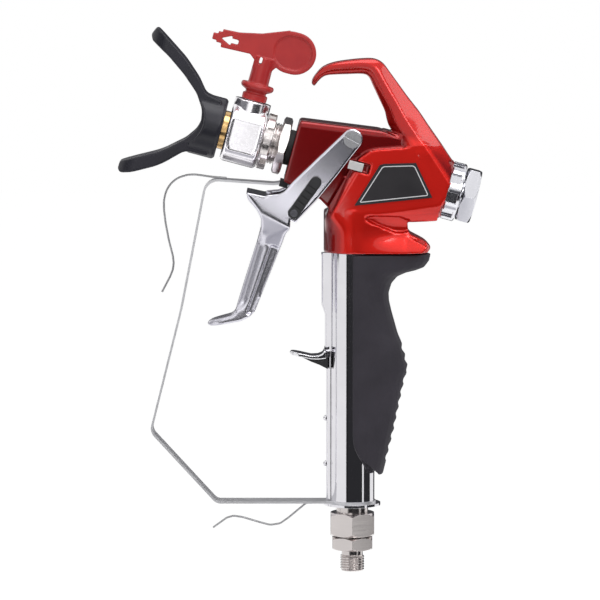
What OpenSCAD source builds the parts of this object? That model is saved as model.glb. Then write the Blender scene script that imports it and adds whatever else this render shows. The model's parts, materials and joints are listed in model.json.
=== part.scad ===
// Hand-held airless paint spray gun, modelled as it would come apart on a bench.
// Millimetres. +Z runs up the handle, -X is the spray direction, Y is across.
// The origin is the centre of the hose inlet's lower end face.
// The valve and spray head lie on a tilted axis. On it, a is the distance
// forward and h the height, both from where it crosses the handle's axis.

/* [Hose inlet and swivel] */
// Outer diameter of the inlet thread
inlet_d = 13.2; // [12.6:0.1:14]
// Length of the inlet thread
inlet_len = 9; // [7:0.5:12]
// Height of the relief above the thread
relief_h = 3; // [2:0.5:5]
// Spanner size of the nipple
nipple_af = 22; // [20:0.5:23]
// Height of the nipple's hexagon
nipple_h = 7; // [5:0.5:9]
// Spanner size of the swivel body
swivel_af = 24; // [23.5:0.5:27]
// Height of the swivel body
swivel_h = 12.7; // [11.5:0.1:16]
// Slit between the nipple and the swivel body
swivel_slit = 0.8; // [0.4:0.1:1.2]
// Radius of the journal that the nipple turns on
journal_r = 6; // [5.6:0.1:6.2]
// Running clearance of every turning fit
fit = 0.05; // [0.03:0.01:0.08]
// Diameter of the fluid way through the inlet
fluid_d = 6; // [4:0.5:7]

/* [Handle] */
// Radius of the neck under the bottom flange
neck_r = 8.75; // [8.3:0.05:9.5]
// Height of the neck that shows
neck_h = 4.2; // [3:0.1:7]
// Radius of the bottom flange
flange_r = 15.5; // [14:0.5:18]
// Thickness of the bottom flange
flange_t = 1.4; // [1:0.1:2.5]
// Outer radius of the handle tube
tube_r = 12.2; // [11.8:0.1:12.6]
// Wall of the handle tube
tube_wall = 1.8; // [1.2:0.1:2.4]
// Length of the handle tube
tube_len = 137.3; // [130:0.1:145]
// How far the casting reaches down inside the tube
spigot_len = 12; // [8:1:20]
// How far the spine stands out in front of the tube
spine_out = 5; // [4:0.1:6]
// Width of the spine
spine_w = 8.4; // [6:0.2:10]
// How far the spine stands out below its head
spine_low_out = 3; // [2.6:0.1:4]
// Length of the spine's head, below the casting
spine_head = 34; // [28:1:40]
// How far the lower strip stands out in front of the tube
strip_out = 2.3; // [1:0.1:2.5]
// Height of the finger rest above the tube's lower end
rest_z = 83; // [78:1:88]
// Reach of the finger rest in front of the spine
rest_reach = 19.4; // [16:0.2:20]
// Width of the finger rest
rest_w = 13; // [10:0.5:16]
// Radius of the filter in the handle
filter_r = 8; // [6:0.5:9]

/* [Grip] */
// Half the width of the grip
grip_half_w = 15; // [14:0.25:17]
// How far the grip reaches behind the handle's axis at the palm swell
grip_swell = 30.8; // [29:0.2:33]
// How far the grip reaches behind the axis at its neck
grip_neck = 20; // [18:0.5:22]
// How far the thumb shelf reaches behind the axis
grip_shelf = 43; // [39:0.5:45]
// Length of the grip
grip_len = 122; // [115:1:126]
// Height of one finger rib
rib_pitch = 6.1; // [5:0.1:8]
// Depth of the grooves between the ribs
rib_depth = 1; // [0.5:0.1:1.6]

/* [Casting] */
// Tilt of the valve axis, nose up
head_tilt = 15; // [12:0.5:17]
// Height of the valve axis above the top of the tube
head_rise = 48.4; // [46:0.2:51]
// Forward end of the casting along the valve axis
front_a = 34.5; // [33:0.5:36]
// Top of the casting's front face above the valve axis
front_top = 17; // [16:0.5:19]
// Bottom of the casting's front face below the valve axis
front_bottom = 18; // [17:0.5:19]
// Half the width of the casting between the trigger's arms
core_half_w = 13.5; // [12.5:0.1:13.6]
// Half the width of the side panels behind the trigger
panel_half_w = 15.6; // [15:0.1:16]
// Radius of the round rear housing
housing_r = 16.3; // [16:0.1:17]
// Rearward end of the casting along the valve axis
rear_a = 53.4; // [52:0.2:56]
// Height of the hanging hook above the valve axis
hook_h = 58.4; // [56:0.2:61]
// Half the width of the hook at its top
hook_half_w = 7; // [6:0.25:8]
// Thickness of the side plates
plate_t = 0.6; // [0.4:0.1:1]

/* [Valve] */
// Spanner size of the front fitting and the rear cap
head_af = 28.6; // [27:0.2:30]
// Length of the front fitting's hexagon
head_hex_len = 5; // [4:0.5:6]
// Thickness of the gasket behind the front fitting
gasket_t = 3; // [2:0.1:4]
// Radius of the front fitting's thread
head_thread_r = 11.5; // [10.5:0.1:12.5]
// Length of the front fitting's thread
head_thread_len = 8.6; // [7:0.2:10]
// Radius of the needle rod
needle_r = 2; // [1.6:0.1:2.4]
// Radius of the spring chamber
chamber_r = 8; // [7.5:0.1:8.5]
// Outer radius of the return spring's coils
spring_r = 6.5; // [6:0.1:7]
// Wire radius of the return spring
spring_wire_r = 0.8; // [0.5:0.1:1]
// Radius of the fluted rear sleeve
sleeve_r = 16.1; // [15:0.1:17]
// Length of the fluted rear sleeve
sleeve_len = 7.6; // [6:0.2:10]
// Number of flutes on the rear sleeve
sleeve_flutes = 9; // [6:1:14]
// Length of the rear cap's hexagon
cap_len = 8; // [7:0.5:12]

/* [Trigger] */
// Forward place of the trigger's pivot on the valve axis
pivot_a = 4.2; // [3.5:0.1:5]
// Height of the trigger's pivot above the valve axis
pivot_h = 14.4; // [14:0.1:15]
// Angle that the trigger is pulled through
pull_angle = 15; // [10:1:15]
// Radius of the boss round the pivot
boss_r = 5.6; // [5.3:0.1:6]
// Radius of the pivot screw's shank
pivot_r = 3; // [2.5:0.1:3.5]
// Radius of the pivot screw's head
screw_head_r = 4.8; // [4.2:0.1:5.2]
// Thickness of each trigger arm
arm_t = 3.5; // [3:0.1:4.5]
// Gap between the casting and each trigger arm
arm_gap = 0.5; // [0.4:0.1:0.8]
// Half the width of the trigger's blade
blade_half_w = 9.5; // [8:0.5:11]
// Length of the lock lever between its two round ends
lock_len = 20.6; // [18:0.2:22]
// Radius of the lock lever's round ends
lock_r = 3.1; // [2.6:0.1:3.5]
// Thickness of the lock lever
lock_t = 2.8; // [2:0.2:4]
// Radius of the lock's shaft
lock_shaft_r = 2; // [1.5:0.1:2.4]

/* [Spray tip and guard] */
// Length of the tip holder
holder_len = 20.2; // [20:0.1:21]
// Radius of the tip holder
holder_r = 16.3; // [15.5:0.1:17]
// Radius of the boss on the tip holder
holder_boss_r = 10; // [9.6:0.1:10]
// Top of the tip holder's boss above the valve axis
holder_top = 19.6; // [19:0.1:21]
// Radius of the captive nut
nut_r = 15.5; // [15:0.1:16.5]
// Number of slots in the captive nut
nut_slots = 6; // [4:1:8]
// Radius of the reversible tip's barrel
barrel_r = 5; // [4.4:0.1:5.2]
// Thickness of the tip's flag handle
flag_t = 5; // [3.5:0.5:6]
// Reach of the flag's nose in front of the tip's axis
nose_reach = 30.7; // [28:0.1:30.8]
// Length of the brass ring
brass_len = 2.9; // [2:0.1:4]
// Radius of the brass ring
brass_r = 10.7; // [9.6:0.1:12]
// Radius of the guard's collar
collar_r = 17; // [16:0.5:18]
// Length of the guard's collar
collar_len = 13.5; // [12:0.5:15]
// Reach of the guard's wings in front of the collar
wing_reach = 36.2; // [33:0.2:38]
// Half the width of each wing
wing_half_w = 11; // [9:0.5:13]
// Radius of the valley between the wings
valley_r = 16.2; // [12:0.2:18]

/* [Hand guard] */
// Thickness of the strap
strap_t = 1.2; // [1:0.1:2]
// Width of the strap
strap_w = 14; // [10:0.5:16]
// How far the strap's lower corner lies in front of the handle's axis
strap_belly = 111; // [105:0.5:115]
// Diameter of the two wires
wire_d = 1.2; // [1:0.1:1.8]

/* [Hidden] */
// Heights up the handle
relief_z = inlet_len;
nipple_z = relief_z + relief_h;
swivel_z = nipple_z + nipple_h + swivel_slit;
neck_z = swivel_z + swivel_h;
flange_z = neck_z + neck_h;
strap_z = flange_z + flange_t;
tube_z = strap_z + strap_t;
tube_top = tube_z + tube_len;
head_z = tube_top + head_rise;
tube_bore_r = tube_r - tube_wall;
// The swivel's inside
collar_z = swivel_z + 2.3;
chamber_top = neck_z - 6;
swivel_collar_r = journal_r + 2;
spigot_r = journal_r + 1;
stud_r = neck_r - 0.75;
plug_h = 10;
// Places along the valve axis
hex_a = front_a + gasket_t;
thread_a = hex_a + head_hex_len;
thread_end = thread_a + head_thread_len;
holder_a = thread_end + 0.3;
holder_end = holder_a + holder_len;
tip_a = holder_a + holder_len / 2;
collar_a = holder_end + brass_len;
wing_a = collar_a + collar_len;
sleeve_a = rear_a + sleeve_len;
cap_a = sleeve_a + 0.8;
head_spigot_r = 7.5;
seat_a = front_a - 14.5;
journal_len = 2.6;
// The trigger
arm_y0 = core_half_w + arm_gap;
arm_y1 = arm_y0 + arm_t;
lock_y = arm_y1 + 0.3;
hinge_gap = 0.3;
yoke_travel = 3;
// Surfaces that are cut through run past by this much
over = 1;
// Solids that make up one piece reach into each other by this much
bond = 0.5;
$fn = 48;

// Outlines of the trigger, from its pivot: [forward or back, up or down]
arm_front = [[-4, 3.9], [-16.2, -7.7], [-32.4, -23.1], [-36.9, -28.4], [-40.2, -30]];
arm_rear = [[-31, -45.7], [-18.5, -32.4], [-8.1, -19.6], [-1.5, -10.8], [4.3, -3.6]];
horn = [[-49.8, -29.2], [-58.8, -28.4], [-59.3, -30.6], [-56, -34.5], [-52.1, -39], [-49.8, -44],
    [-50.1, -49.7]];
blade_front = [[-52.1, -57], [-55.4, -67.1], [-59.3, -79.4], [-62.7, -90.6], [-64.1, -95.7],
    [-66.1, -97.4]];
toe = [[-76.8, -100.2], [-79.6, -101.8], [-79.2, -103.6], [-75.1, -103.3], [-61, -100.7],
    [-56.5, -98.5], [-53.4, -95.7]];
blade_rear = [[-49.8, -86.7], [-44.2, -72.7], [-39.1, -59.8], [-36.3, -51.9], [-34.1, -49.7]];
lock_pivot = [-31.9, -40.2];
lock_angle = 54.5;

// A point of the valve axis's own frame, as [x, z]
function on_head(a, h) = [h * sin(head_tilt) - a * cos(head_tilt),
    head_z + a * sin(head_tilt) + h * cos(head_tilt)];
pivot = on_head(pivot_a, pivot_h);
function turned(p, angle) = [p[0] * cos(angle) - p[1] * sin(angle),
    p[0] * sin(angle) + p[1] * cos(angle)];
function unit(v) = v / norm(v);
// The arc that rounds corner b of the path a-b-c to radius r, in the given number of steps
function corner_arc(a, b, c, r, steps) =
    let (u = unit(a - b), v = unit(c - b), half = acos(u * v) / 2)
    let (reach = r / tan(half), centre = b + unit(u + v) * (r / sin(half)))
    let (from = b + u * reach - centre, to = b + v * reach - centre)
    let (side = sign(from[0] * to[1] - from[1] * to[0]))
    [for (k = [0:steps]) centre + turned(from, side * (180 - 2 * half) * k / steps)];
// A path through corners [x, z, radius], with each corner rounded
function rounded_path(pts, steps = 6) = [for (k = [0:len(pts) - 1])
    let (p = [pts[k][0], pts[k][1]])
    each (k == 0 || k == len(pts) - 1 || pts[k][2] == 0) ? [p]
        : corner_arc([pts[k - 1][0], pts[k - 1][1]], p, [pts[k + 1][0], pts[k + 1][1]],
            pts[k][2], steps)];
// The path moved sideways by d, for a strip of constant thickness
function beside(path, d) = [for (k = [0:len(path) - 1])
    let (a = path[max(k - 1, 0)], b = path[min(k + 1, len(path) - 1)], t = unit(b - a))
    path[k] + d * [-t[1], t[0]]];

// A side view, as [x, z], made w wide about the middle
module side(w) rotate([90, 0, 0]) linear_extrude(w, center = true) children();
// The same between two distances from the middle, on both sides
module both_sides(y0, y1) for (s = [-1, 1]) translate([0, s * (y0 + y1) / 2, 0]) side(y1 - y0) children();
// Places its children in the valve axis's frame: -X forward, Z up
module on_valve() translate([0, 0, head_z]) rotate([0, head_tilt, 0]) children();
// A side view drawn as [a, h] in the valve axis's frame
module valve_side(w) mirror([1, 0, 0]) side(w) children();
// A round along the valve axis between two places
module axial(a0, a1, r) translate([-a1, 0, 0]) rotate([0, 90, 0]) cylinder(h = a1 - a0, r = r);
// The same with both ends turned down to a chamfer
module axial_chamfered(a0, a1, r, c) translate([-a1, 0, 0]) rotate([0, 90, 0])
    rotate_extrude() polygon([[0, 0], [r - c, 0], [r, c], [r, a1 - a0 - c], [r - c, a1 - a0], [0, a1 - a0]]);
// A hexagon with its corners turned down at both ends, one corner towards the side
module hex_body(af, h, chamfer = 1.2) intersection() {
    rotate(30) cylinder(h = h, d = af / cos(30), $fn = 6);
    rotate_extrude() polygon([[0, 0], [af / 2 * 0.99, 0], [af / 2 / cos(30), chamfer],
        [af / 2 / cos(30), h - chamfer], [af / 2 * 0.99, h], [0, h]]);
}
module round_rect(w, h, r) {
    square([w, h - 2 * r], center = true);
    square([w - 2 * r, h], center = true);
    for (x = [-1, 1], y = [-1, 1]) translate([x * (w / 2 - r), y * (h / 2 - r)]) circle(r);
}
// Two circles and the strip between them
module stadium(p, q, r) {
    d = q - p;
    translate(p) circle(r);
    translate(q) circle(r);
    translate(p) rotate(atan2(d[1], d[0])) translate([0, -r]) square([norm(d), 2 * r]);
}
// A round wire swept along a path in the side view
module wire(path, r, sides = 8) {
    n = len(path);
    pts = [for (k = [0:n - 1])
        let (a = path[max(k - 1, 0)], b = path[min(k + 1, n - 1)], t = unit(b - a))
        for (j = [0:sides - 1]) let (c = r * cos(360 * j / sides), s = r * sin(360 * j / sides))
            [path[k][0] - t[1] * c, s, path[k][1] + t[0] * c]];
    ends = [[for (j = [0:sides - 1]) j], [for (j = [sides - 1:-1:0]) (n - 1) * sides + j]];
    walls = [for (k = [0:n - 2], j = [0:sides - 1]) let (m = (j + 1) % sides)
        each [[k * sides + j, (k + 1) * sides + m, k * sides + m],
            [k * sides + j, (k + 1) * sides + j, (k + 1) * sides + m]]];
    polyhedron(pts, concat(ends, walls));
}

// ---- Hose inlet and swivel ----
module swivel_nipple() color([0.73, 0.70, 0.70]) difference() {
    union() {
        cylinder(h = relief_z, d = inlet_d);
        translate([0, 0, relief_z / 2]) cylinder(h = relief_z / 2 + relief_h + bond, r = inlet_d / 2 - 0.8);
        translate([0, 0, nipple_z]) hex_body(nipple_af, nipple_h);
        translate([0, 0, swivel_z - swivel_slit - bond])
            cylinder(h = collar_z - swivel_z + swivel_slit + 2 * bond, r = journal_r);
        translate([0, 0, collar_z]) cylinder(h = 2.6, r = swivel_collar_r - fit);
    }
    translate([0, 0, -over]) cylinder(h = collar_z + 5, d = fluid_d);
}

module swivel_body() color([0.73, 0.70, 0.70]) difference() {
    translate([0, 0, swivel_z]) hex_body(swivel_af, swivel_h, 1.6);
    translate([0, 0, swivel_z - over]) cylinder(h = 4, r = journal_r + fit);
    translate([0, 0, collar_z - 0.2]) cylinder(h = chamber_top - collar_z + 0.2, r = swivel_collar_r);
    translate([0, 0, chamber_top - over]) cylinder(h = 9, r = spigot_r);
}

module swivel_seal() color([0.1, 0.1, 0.1]) difference() {
    translate([0, 0, collar_z + 2.9]) cylinder(h = chamber_top - collar_z - 2.9, r = spigot_r);
    translate([0, 0, collar_z]) cylinder(h = 12, d = fluid_d);
}

module handle_fitting() color([0.73, 0.70, 0.70]) difference() {
    union() {
        translate([0, 0, chamber_top]) cylinder(h = neck_z - chamber_top, r = spigot_r);
        translate([0, 0, neck_z]) cylinder(h = neck_h, r = neck_r);
        translate([0, 0, flange_z]) cylinder(h = tube_z - flange_z, r = stud_r);
        translate([0, 0, tube_z]) cylinder(h = plug_h, r = tube_bore_r);
    }
    translate([0, 0, chamber_top - over]) cylinder(h = 60, d = fluid_d);
}

module bottom_flange() color([0.78, 0.77, 0.80]) difference() {
    translate([0, 0, flange_z]) cylinder(h = flange_t, r = flange_r, $fn = 64);
    translate([0, 0, flange_z - over]) cylinder(h = flange_t + 2 * over, r = stud_r);
}

// ---- Handle ----
module tube_round(extra = 0) translate([0, 0, tube_z - over])
    cylinder(h = tube_len + 2 * over, r = tube_r + extra, $fn = 64);

module handle_tube() color([0.84, 0.83, 0.86]) translate([0, 0, tube_z]) difference() {
    cylinder(h = tube_len, r = tube_r, $fn = 64);
    translate([0, 0, -over]) cylinder(h = tube_len + 2 * over, r = tube_bore_r, $fn = 64);
}

module filter_spring() color([0.6, 0.6, 0.62]) translate([0, 0, tube_z + plug_h]) difference() {
    cylinder(h = 8, r = filter_r - 1);
    translate([0, 0, -over]) cylinder(h = 8 + 2 * over, r = filter_r - 2);
}

module handle_filter() color([0.9, 0.85, 0.3]) {
    z0 = tube_z + plug_h + 8;
    z1 = tube_top - spigot_len;
    difference() {
        union() {
            translate([0, 0, z0]) cylinder(h = z1 - z0, r = filter_r - 1);
            for (z = [z0, z1 - 5]) translate([0, 0, z]) cylinder(h = 5, r = filter_r);
        }
        translate([0, 0, z0 - over]) cylinder(h = z1 - z0 + 2 * over, r = filter_r - 3);
    }
}

module tube_spine() color([0.80, 0.80, 0.83]) difference() {
    union() {
        side(spine_w) polygon([[-8, tube_top], [-tube_r - spine_out, tube_top],
            [-tube_r - spine_out, tube_top - spine_head + 5.5], [-tube_r - spine_low_out, tube_top - spine_head],
            [-tube_r - spine_low_out, tube_z + rest_z], [-8, tube_z + rest_z]]);
        translate([-tube_r - strip_out, -spine_w / 2 + 1, tube_z + 0.4])
            cube([strip_out + 4, spine_w - 2, rest_z]);
    }
    tube_round();
}

module spine_rivets() color([0.80, 0.80, 0.83]) for (z = [20.2, 45.5]) translate([0, 0, tube_z + z])
    difference() {
        translate([-tube_r - strip_out, 0, 0]) sphere(r = 1.7);
        translate([-tube_r - strip_out, -2.5, -2.5]) cube([5, 5, 5]);
    }

// The curl that the little finger rests on
module finger_rest() color([0.82, 0.82, 0.85]) {
    x0 = -tube_r - spine_low_out;
    z0 = tube_z + rest_z;
    step = spine_low_out - strip_out;
    intersection() {
        side(rest_w) translate([x0, z0]) polygon([[0, 3], [-0.4, 0.6], [-1.4, -1.1], [-3.8, -2.1], [-7.5, -2.3],
            [-11.9, -1.3], [2.1 - rest_reach, -0.1], [0.8 - rest_reach, 0.1], [-rest_reach, -0.8],
            [0.6 - rest_reach, -2], [-13.9, -2.9], [-7.5, -4.2], [-3.8, -4.4], [step, -3.9], [step, 0], [0, 0]]);
        union() {
            translate([x0 - rest_reach + rest_w / 2, 0, 0]) cylinder(h = 400, d = rest_w);
            translate([x0 - rest_reach + rest_w / 2, -rest_w / 2, 0]) cube([40, rest_w, 400]);
        }
    }
}

// The web that stiffens the rest from below
module finger_rest_pad() color([0.1, 0.1, 0.11]) difference() {
    side(spine_w) translate([-tube_r - spine_low_out, tube_z + rest_z]) polygon([[-13.6, -2.8], [-7.5, -5.8],
        [-3.1, -7.5], [1.6, -9.9], [1.6, -1.9], [0.3, -1.9], [-0.4, -3.4], [-3.8, -3.6], [-7.5, -3.4]]);
    finger_rest();
    tube_spine();
    tube_round();
}

// ---- Grip ----
// How far down from the top each level of the grip lies, and how far back it reaches there
grip_levels = [[0, grip_shelf], [4, grip_shelf - 0.9], [7.6, grip_shelf - 3.6], [9.2, grip_shelf - 8],
    [10.4, grip_shelf - 13.2], [12.5, grip_neck + 4.9], [16.4, grip_neck + 1.5], [21.5, grip_neck - 0.1],
    [26, grip_neck + 0.1], [32, grip_neck + 1.5], [44, grip_neck + 4.9], [50, grip_swell - 3.4],
    [56, grip_swell - 1.7], [60, grip_swell - 0.6], [63.5, grip_swell], [67, grip_swell - 1.2],
    [72, grip_swell - 2.5], [83, grip_swell - 4.8], [97, grip_swell - 7.7], [111, grip_swell - 11.2],
    [grip_len, grip_swell - 13.9]];
// One level's outline: round in front, and a fuller oval behind
function grip_ring(back, z, n) = [for (k = [0:n - 1]) let (c = cos(360 * k / n), s = sin(360 * k / n))
    c > 0 ? [3 + (back - 3) * pow(c, 0.87), sign(s) * grip_half_w * pow(abs(s), 0.87), z]
        : [3 + grip_half_w * c, grip_half_w * s, z]];
// A solid through rings that all have the same number of points, from the top down
module loft(rings) {
    n = len(rings[0]);
    m = len(rings);
    polyhedron([for (r = rings) each r], concat([[for (k = [n - 1:-1:0]) k], [for (k = [0:n - 1]) (m - 1) * n + k]],
        [for (i = [0:m - 2], k = [0:n - 1]) let (j = (k + 1) % n)
            each [[i * n + k, i * n + j, (i + 1) * n + j], [i * n + k, (i + 1) * n + j, (i + 1) * n + k]]]));
}

module grip() color([0.24, 0.235, 0.26]) {
    top = tube_top - 0.5;
    low = top - grip_len;
    difference() {
        loft([for (level = grip_levels) grip_ring(level[1], top - level[0], 28)]);
        // Only the rear of the tube is covered, down to a curved lower edge
        translate([-50, -30, 0]) cube([50, 60, 300]);
        side(60) polygon(concat([[-5, low - 5]], rounded_path([[-1, top - 90, 0],
            [0.8, top - 108, 14], [14, low + 1, 0]]), [[18, low - 5]]));
        for (z = [52:rib_pitch:grip_len - 6])
            translate([lookup(z, grip_levels) - rib_depth + 3.4, 0, top - z])
                rotate([90, 0, 0]) cylinder(h = 60, r = 3.4, center = true, $fn = 24);
        tube_round();
    }
}

// ---- Casting ----
// One place along the hanging hook: a rounded bar across the gun
module hook_bar(x, z, r, half_w) translate([x, 0, head_z + z]) rotate([90, 0, 0]) {
    cylinder(h = 2 * half_w - 3, r = r, center = true, $fn = 32);
    cylinder(h = 2 * half_w, r = max(r - 1.5, 0.6), center = true, $fn = 32);
}
module hook() {
    low = hook_h - 58.4;
    top = hook_half_w;
    hull() {
        hook_bar(-21.4, low + 44.9, 1.6, top - 1.2);
        hook_bar(-14.4, low + 52.1, 2.9, top - 0.8);
    }
    hull() {
        hook_bar(-14.4, low + 52.1, 2.9, top - 0.8);
        hook_bar(-3.5, low + 53.6, 3.9, top - 0.2);
    }
    hull() {
        hook_bar(-3.5, low + 53.6, 3.9, top - 0.2);
        hook_bar(8.5, low + 54.2, 4.2, top);
    }
    hull() {
        hook_bar(8.5, low + 54.2, 4.2, top);
        hook_bar(14.4, low + 51.6, 4.2, top + 0.5);
        hook_bar(12.2, low + 47, 3, top + 0.5);
    }
    hull() {
        hook_bar(14.4, low + 51.6, 4.2, top + 0.5);
        hook_bar(12.2, low + 47, 3, top + 0.5);
        hook_leg_top(top);
    }
    hull() {
        hook_leg_top(top);
        hook_leg_middle(top);
    }
    // The leg's broad face runs down into the panel
    hull() {
        hook_leg_middle(top);
        hook_bar(19, 16, 3, top + 2.5);
        hook_bar(32.4, 10.4, 0.8, panel_half_w);
        hook_bar(45.4, 11, 0.8, panel_half_w);
        on_valve() axial(0.6 - rear_a, 1.6 - rear_a, housing_r - 0.4);
    }
}
// Two sections of the hook's leg: narrow edges in front and behind, and two ridges between them
module hook_leg_top(top) {
    hook_bar(24.2, 39, 4, top);
    hook_bar(16.4, 38.6, 3, top - 0.4);
    hook_bar(18.2, 38.8, 0.8, top + 2.2);
    hook_bar(25.6, 39.4, 0.8, top + 2.2);
}
module hook_leg_middle(top) {
    hook_bar(32.5, 27.6, 4, top + 1.4);
    hook_bar(20.9, 28.5, 3, top + 0.6);
    hook_bar(24, 27.4, 0.8, top + 4.8);
    hook_bar(33.2, 27.4, 0.8, top + 4.6);
}

// The block between the trigger's arms, seen from the side
module core_outline() polygon([on_head(front_a, front_top), on_head(-8.6, front_top + 5.9),
    on_head(-24, front_top + 4), on_head(-40, 14), on_head(-40, -14),
    [4, tube_top + 14], [-15.2, tube_top + 14], [-15.8, tube_top + 20], [-12.8, tube_top + 24.7],
    on_head(12.5, -front_bottom - 4.3), on_head(front_a, -front_bottom)]);

// The wide panel behind the trigger, seen from the side
module panel_outline() polygon([[-15, tube_top + 14], [-15.4, tube_top + 20.5], [-12.8, tube_top + 26],
    [-0.6, head_z - 1.4], [3.6, head_z + 4.6], [8.8, head_z + 8], [12.4, head_z + 8.9],
    [26.6, head_z + 9.9], [32.4, head_z + 10.6], [45.4, head_z + 11.2], on_head(1.2 - rear_a, 14),
    on_head(1.2 - rear_a, -17.4), [29.7, head_z - 31], [29.7, tube_top + 14]]);
// Wedges that slope the sides inwards, to the right of the line from p to q
module side_draft(p, q, run, drop) for (s = [-1, 1]) translate([p[0], 0, p[1]])
    rotate([0, -atan2(q[1] - p[1], q[0] - p[0]), 0]) rotate([90, 0, 90]) linear_extrude(norm(q - p))
        polygon([[s * panel_half_w, 0], [s * (panel_half_w + 3), 0], [s * (panel_half_w + 3), -run],
            [s * (panel_half_w - drop), -run]]);

// The lower block that caps the tube and shelters the thumb shelf
module base_outline() polygon(concat([[-16, tube_top + 0.4], [-16, tube_top + 24], [29.7, tube_top + 24]],
    rounded_path([[29.7, tube_top + 20, 0], [30.4, tube_top + 11.4, 4], [39.5, tube_top + 7, 12],
        [43.2, tube_top + 3, 1.5], [41, tube_top + 0.4, 0]])));

// The swept path of the trigger's arms, with room round them
module arm_sweep() translate(pivot) {
    circle(boss_r + arm_gap + 0.3);
    polygon(concat([for (p = arm_rear) turned(p, pull_angle) + [0.8, 0]], [[-10, 8], [-60, 8], [-60, -60]]));
}

module body_casting() color([0.75, 0.09, 0.08]) difference() {
    union() {
        intersection() {
            union() {
                hook();
                on_valve() axial(-rear_a, -12, housing_r);
            }
            translate([-60, -panel_half_w, 150]) cube([160, 2 * panel_half_w, 200]);
        }
        intersection() {
            side(2 * core_half_w) core_outline();
            // Rounds the long top edges, along the slope of the top
            translate([0, 0, head_z + 18.6 + front_top - 17]) rotate([0, head_tilt - 7.8, 0])
                rotate([90, 0, 90]) linear_extrude(160, center = true)
                    translate([0, 3.4 - 50]) round_rect(2 * core_half_w, 100, 4);
        }
        difference() {
            union() {
                side(2 * panel_half_w) panel_outline();
                intersection() {
                    side(60) base_outline();
                    linear_extrude(400) union() {
                        circle(16, $fn = 64);
                        translate([0, -panel_half_w]) square([27.4, 2 * panel_half_w]);
                        translate([27.4, 0]) circle(panel_half_w, $fn = 64);
                    }
                }
            }
            both_sides(core_half_w, 30) arm_sweep();
        }
        translate([0, 0, tube_top - spigot_len]) cylinder(h = spigot_len + 20, r = tube_bore_r);
    }
    on_valve() {
        axial(seat_a + 4, front_a + over, head_spigot_r);
        axial(9, seat_a + 4.1, head_spigot_r - 1);
        axial(4.6, 9.1, 5);
        axial(0, 5, needle_r + 0.15);
        axial(-rear_a - over, -12, chamber_r);
        axial(-rear_a - over, -rear_a + 7.4, chamber_r + 4);
        axial(-13, 4.7, 6.4);
        // The slot that the yoke slides in, and the room for its tabs
        translate([-1.5, -30, -1.4]) cube([3.6 + yoke_travel, 60, 4.1]);
        both_sides(core_half_w, 30) translate([-3.2, -2.2]) square([9.3 + yoke_travel, 5.7]);
    }
    // The trigger's screws, and the fluid way up from the handle
    translate([pivot[0], 0, pivot[1]]) rotate([90, 0, 0]) cylinder(h = 60, r = pivot_r - 0.4, center = true);
    translate([0, 0, tube_top - spigot_len - over]) cylinder(h = 24, r = 3);
    // The slanted notch under the rear housing, and the flat seats of the side plates
    both_sides(panel_half_w - 3.4, 30) polygon([[6, tube_top + 20], [10.5, tube_top + 21.4], [25.6, tube_top + 20.8],
        [31, tube_top + 18.8], [31, tube_top + 12.6], [27.4, tube_top + 11.6], [23, tube_top + 11.8],
        [9.9, tube_top + 17.4]]);
    both_sides(panel_half_w, 30) plate_outline();
    // The panel slopes inwards below the plates and along its front
    side_draft([9, head_z - 27.1], [53, head_z - 20.2], 9, 2.2);
    side_draft([2.4, head_z - 3.2], [-9.8, tube_top + 24.2], 4.5, 2.8);
}

// Plain trapezoid plates on the panels
module plate_outline() polygon([[0.8, head_z - 21.4], [14.6, head_z + 0.8], [16.7, head_z + 1.4],
    [34.3, head_z + 1.9], [43.2, head_z - 17]]);
module side_plates() color([0.2, 0.19, 0.21]) both_sides(panel_half_w, panel_half_w + plate_t) plate_outline();

// ---- Valve ----
module gun_head() color([0.82, 0.80, 0.80]) on_valve() difference() {
    union() {
        axial(seat_a + 4, hex_a + bond, head_spigot_r);
        translate([-thread_a, 0, 0]) rotate([0, 90, 0]) rotate(10) hex_body(head_af, head_hex_len, 0.9);
        axial_chamfered(thread_a - bond, thread_end, head_thread_r, 0.7);
        axial(thread_end - bond, thread_end + journal_len, 8);
    }
    axial(0, 100, fluid_d / 2 - 0.6);
}

module head_gasket() color([0.08, 0.08, 0.08]) on_valve() difference() {
    axial(front_a, hex_a, 9.8);
    axial(front_a - over, hex_a + over, head_spigot_r);
}

module valve_seat() color([0.55, 0.55, 0.58]) on_valve() difference() {
    axial(seat_a, seat_a + 4, head_spigot_r - 1);
    axial(seat_a - over, seat_a + 5, 1.5);
}

module packing_seals() color([0.92, 0.92, 0.88]) on_valve() difference() {
    axial(6.6, 9, 5);
    axial(5, 10, needle_r + 0.1);
}

module packing_nut() color([0.72, 0.6, 0.3]) on_valve() difference() {
    axial(4.6, 6.6, 5);
    axial(3, 8, needle_r + 0.1);
}

// The rod that closes the seat, with its ball nose and spring collar
module needle() color([0.7, 0.7, 0.74]) on_valve() {
    axial(-15, seat_a - 2.2, needle_r);
    translate([-(seat_a - 2.2), 0, 0]) sphere(r = 2.1);
    axial(-15, -13, spring_r);
}

module needle_yoke() color([0.93, 0.93, 0.93]) on_valve() difference() {
    union() {
        translate([-1, -core_half_w - 1, -0.9]) cube([2.5, 2 * core_half_w + 2, 3.1]);
        // The tabs that the trigger's arms push
        both_sides(core_half_w + 0.3, arm_y1) translate([-2.7, -1.6]) square([8.1, 4.5]);
        axial(-6.5, 2.2, 4.6);
    }
    axial(-20, 20, needle_r);
}

module return_spring() color([0.6, 0.6, 0.62]) on_valve() difference() {
    axial(-rear_a + 9, -15 - yoke_travel - 0.2, spring_r);
    axial(-rear_a, -10, spring_r - 2 * spring_wire_r);
}

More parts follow.
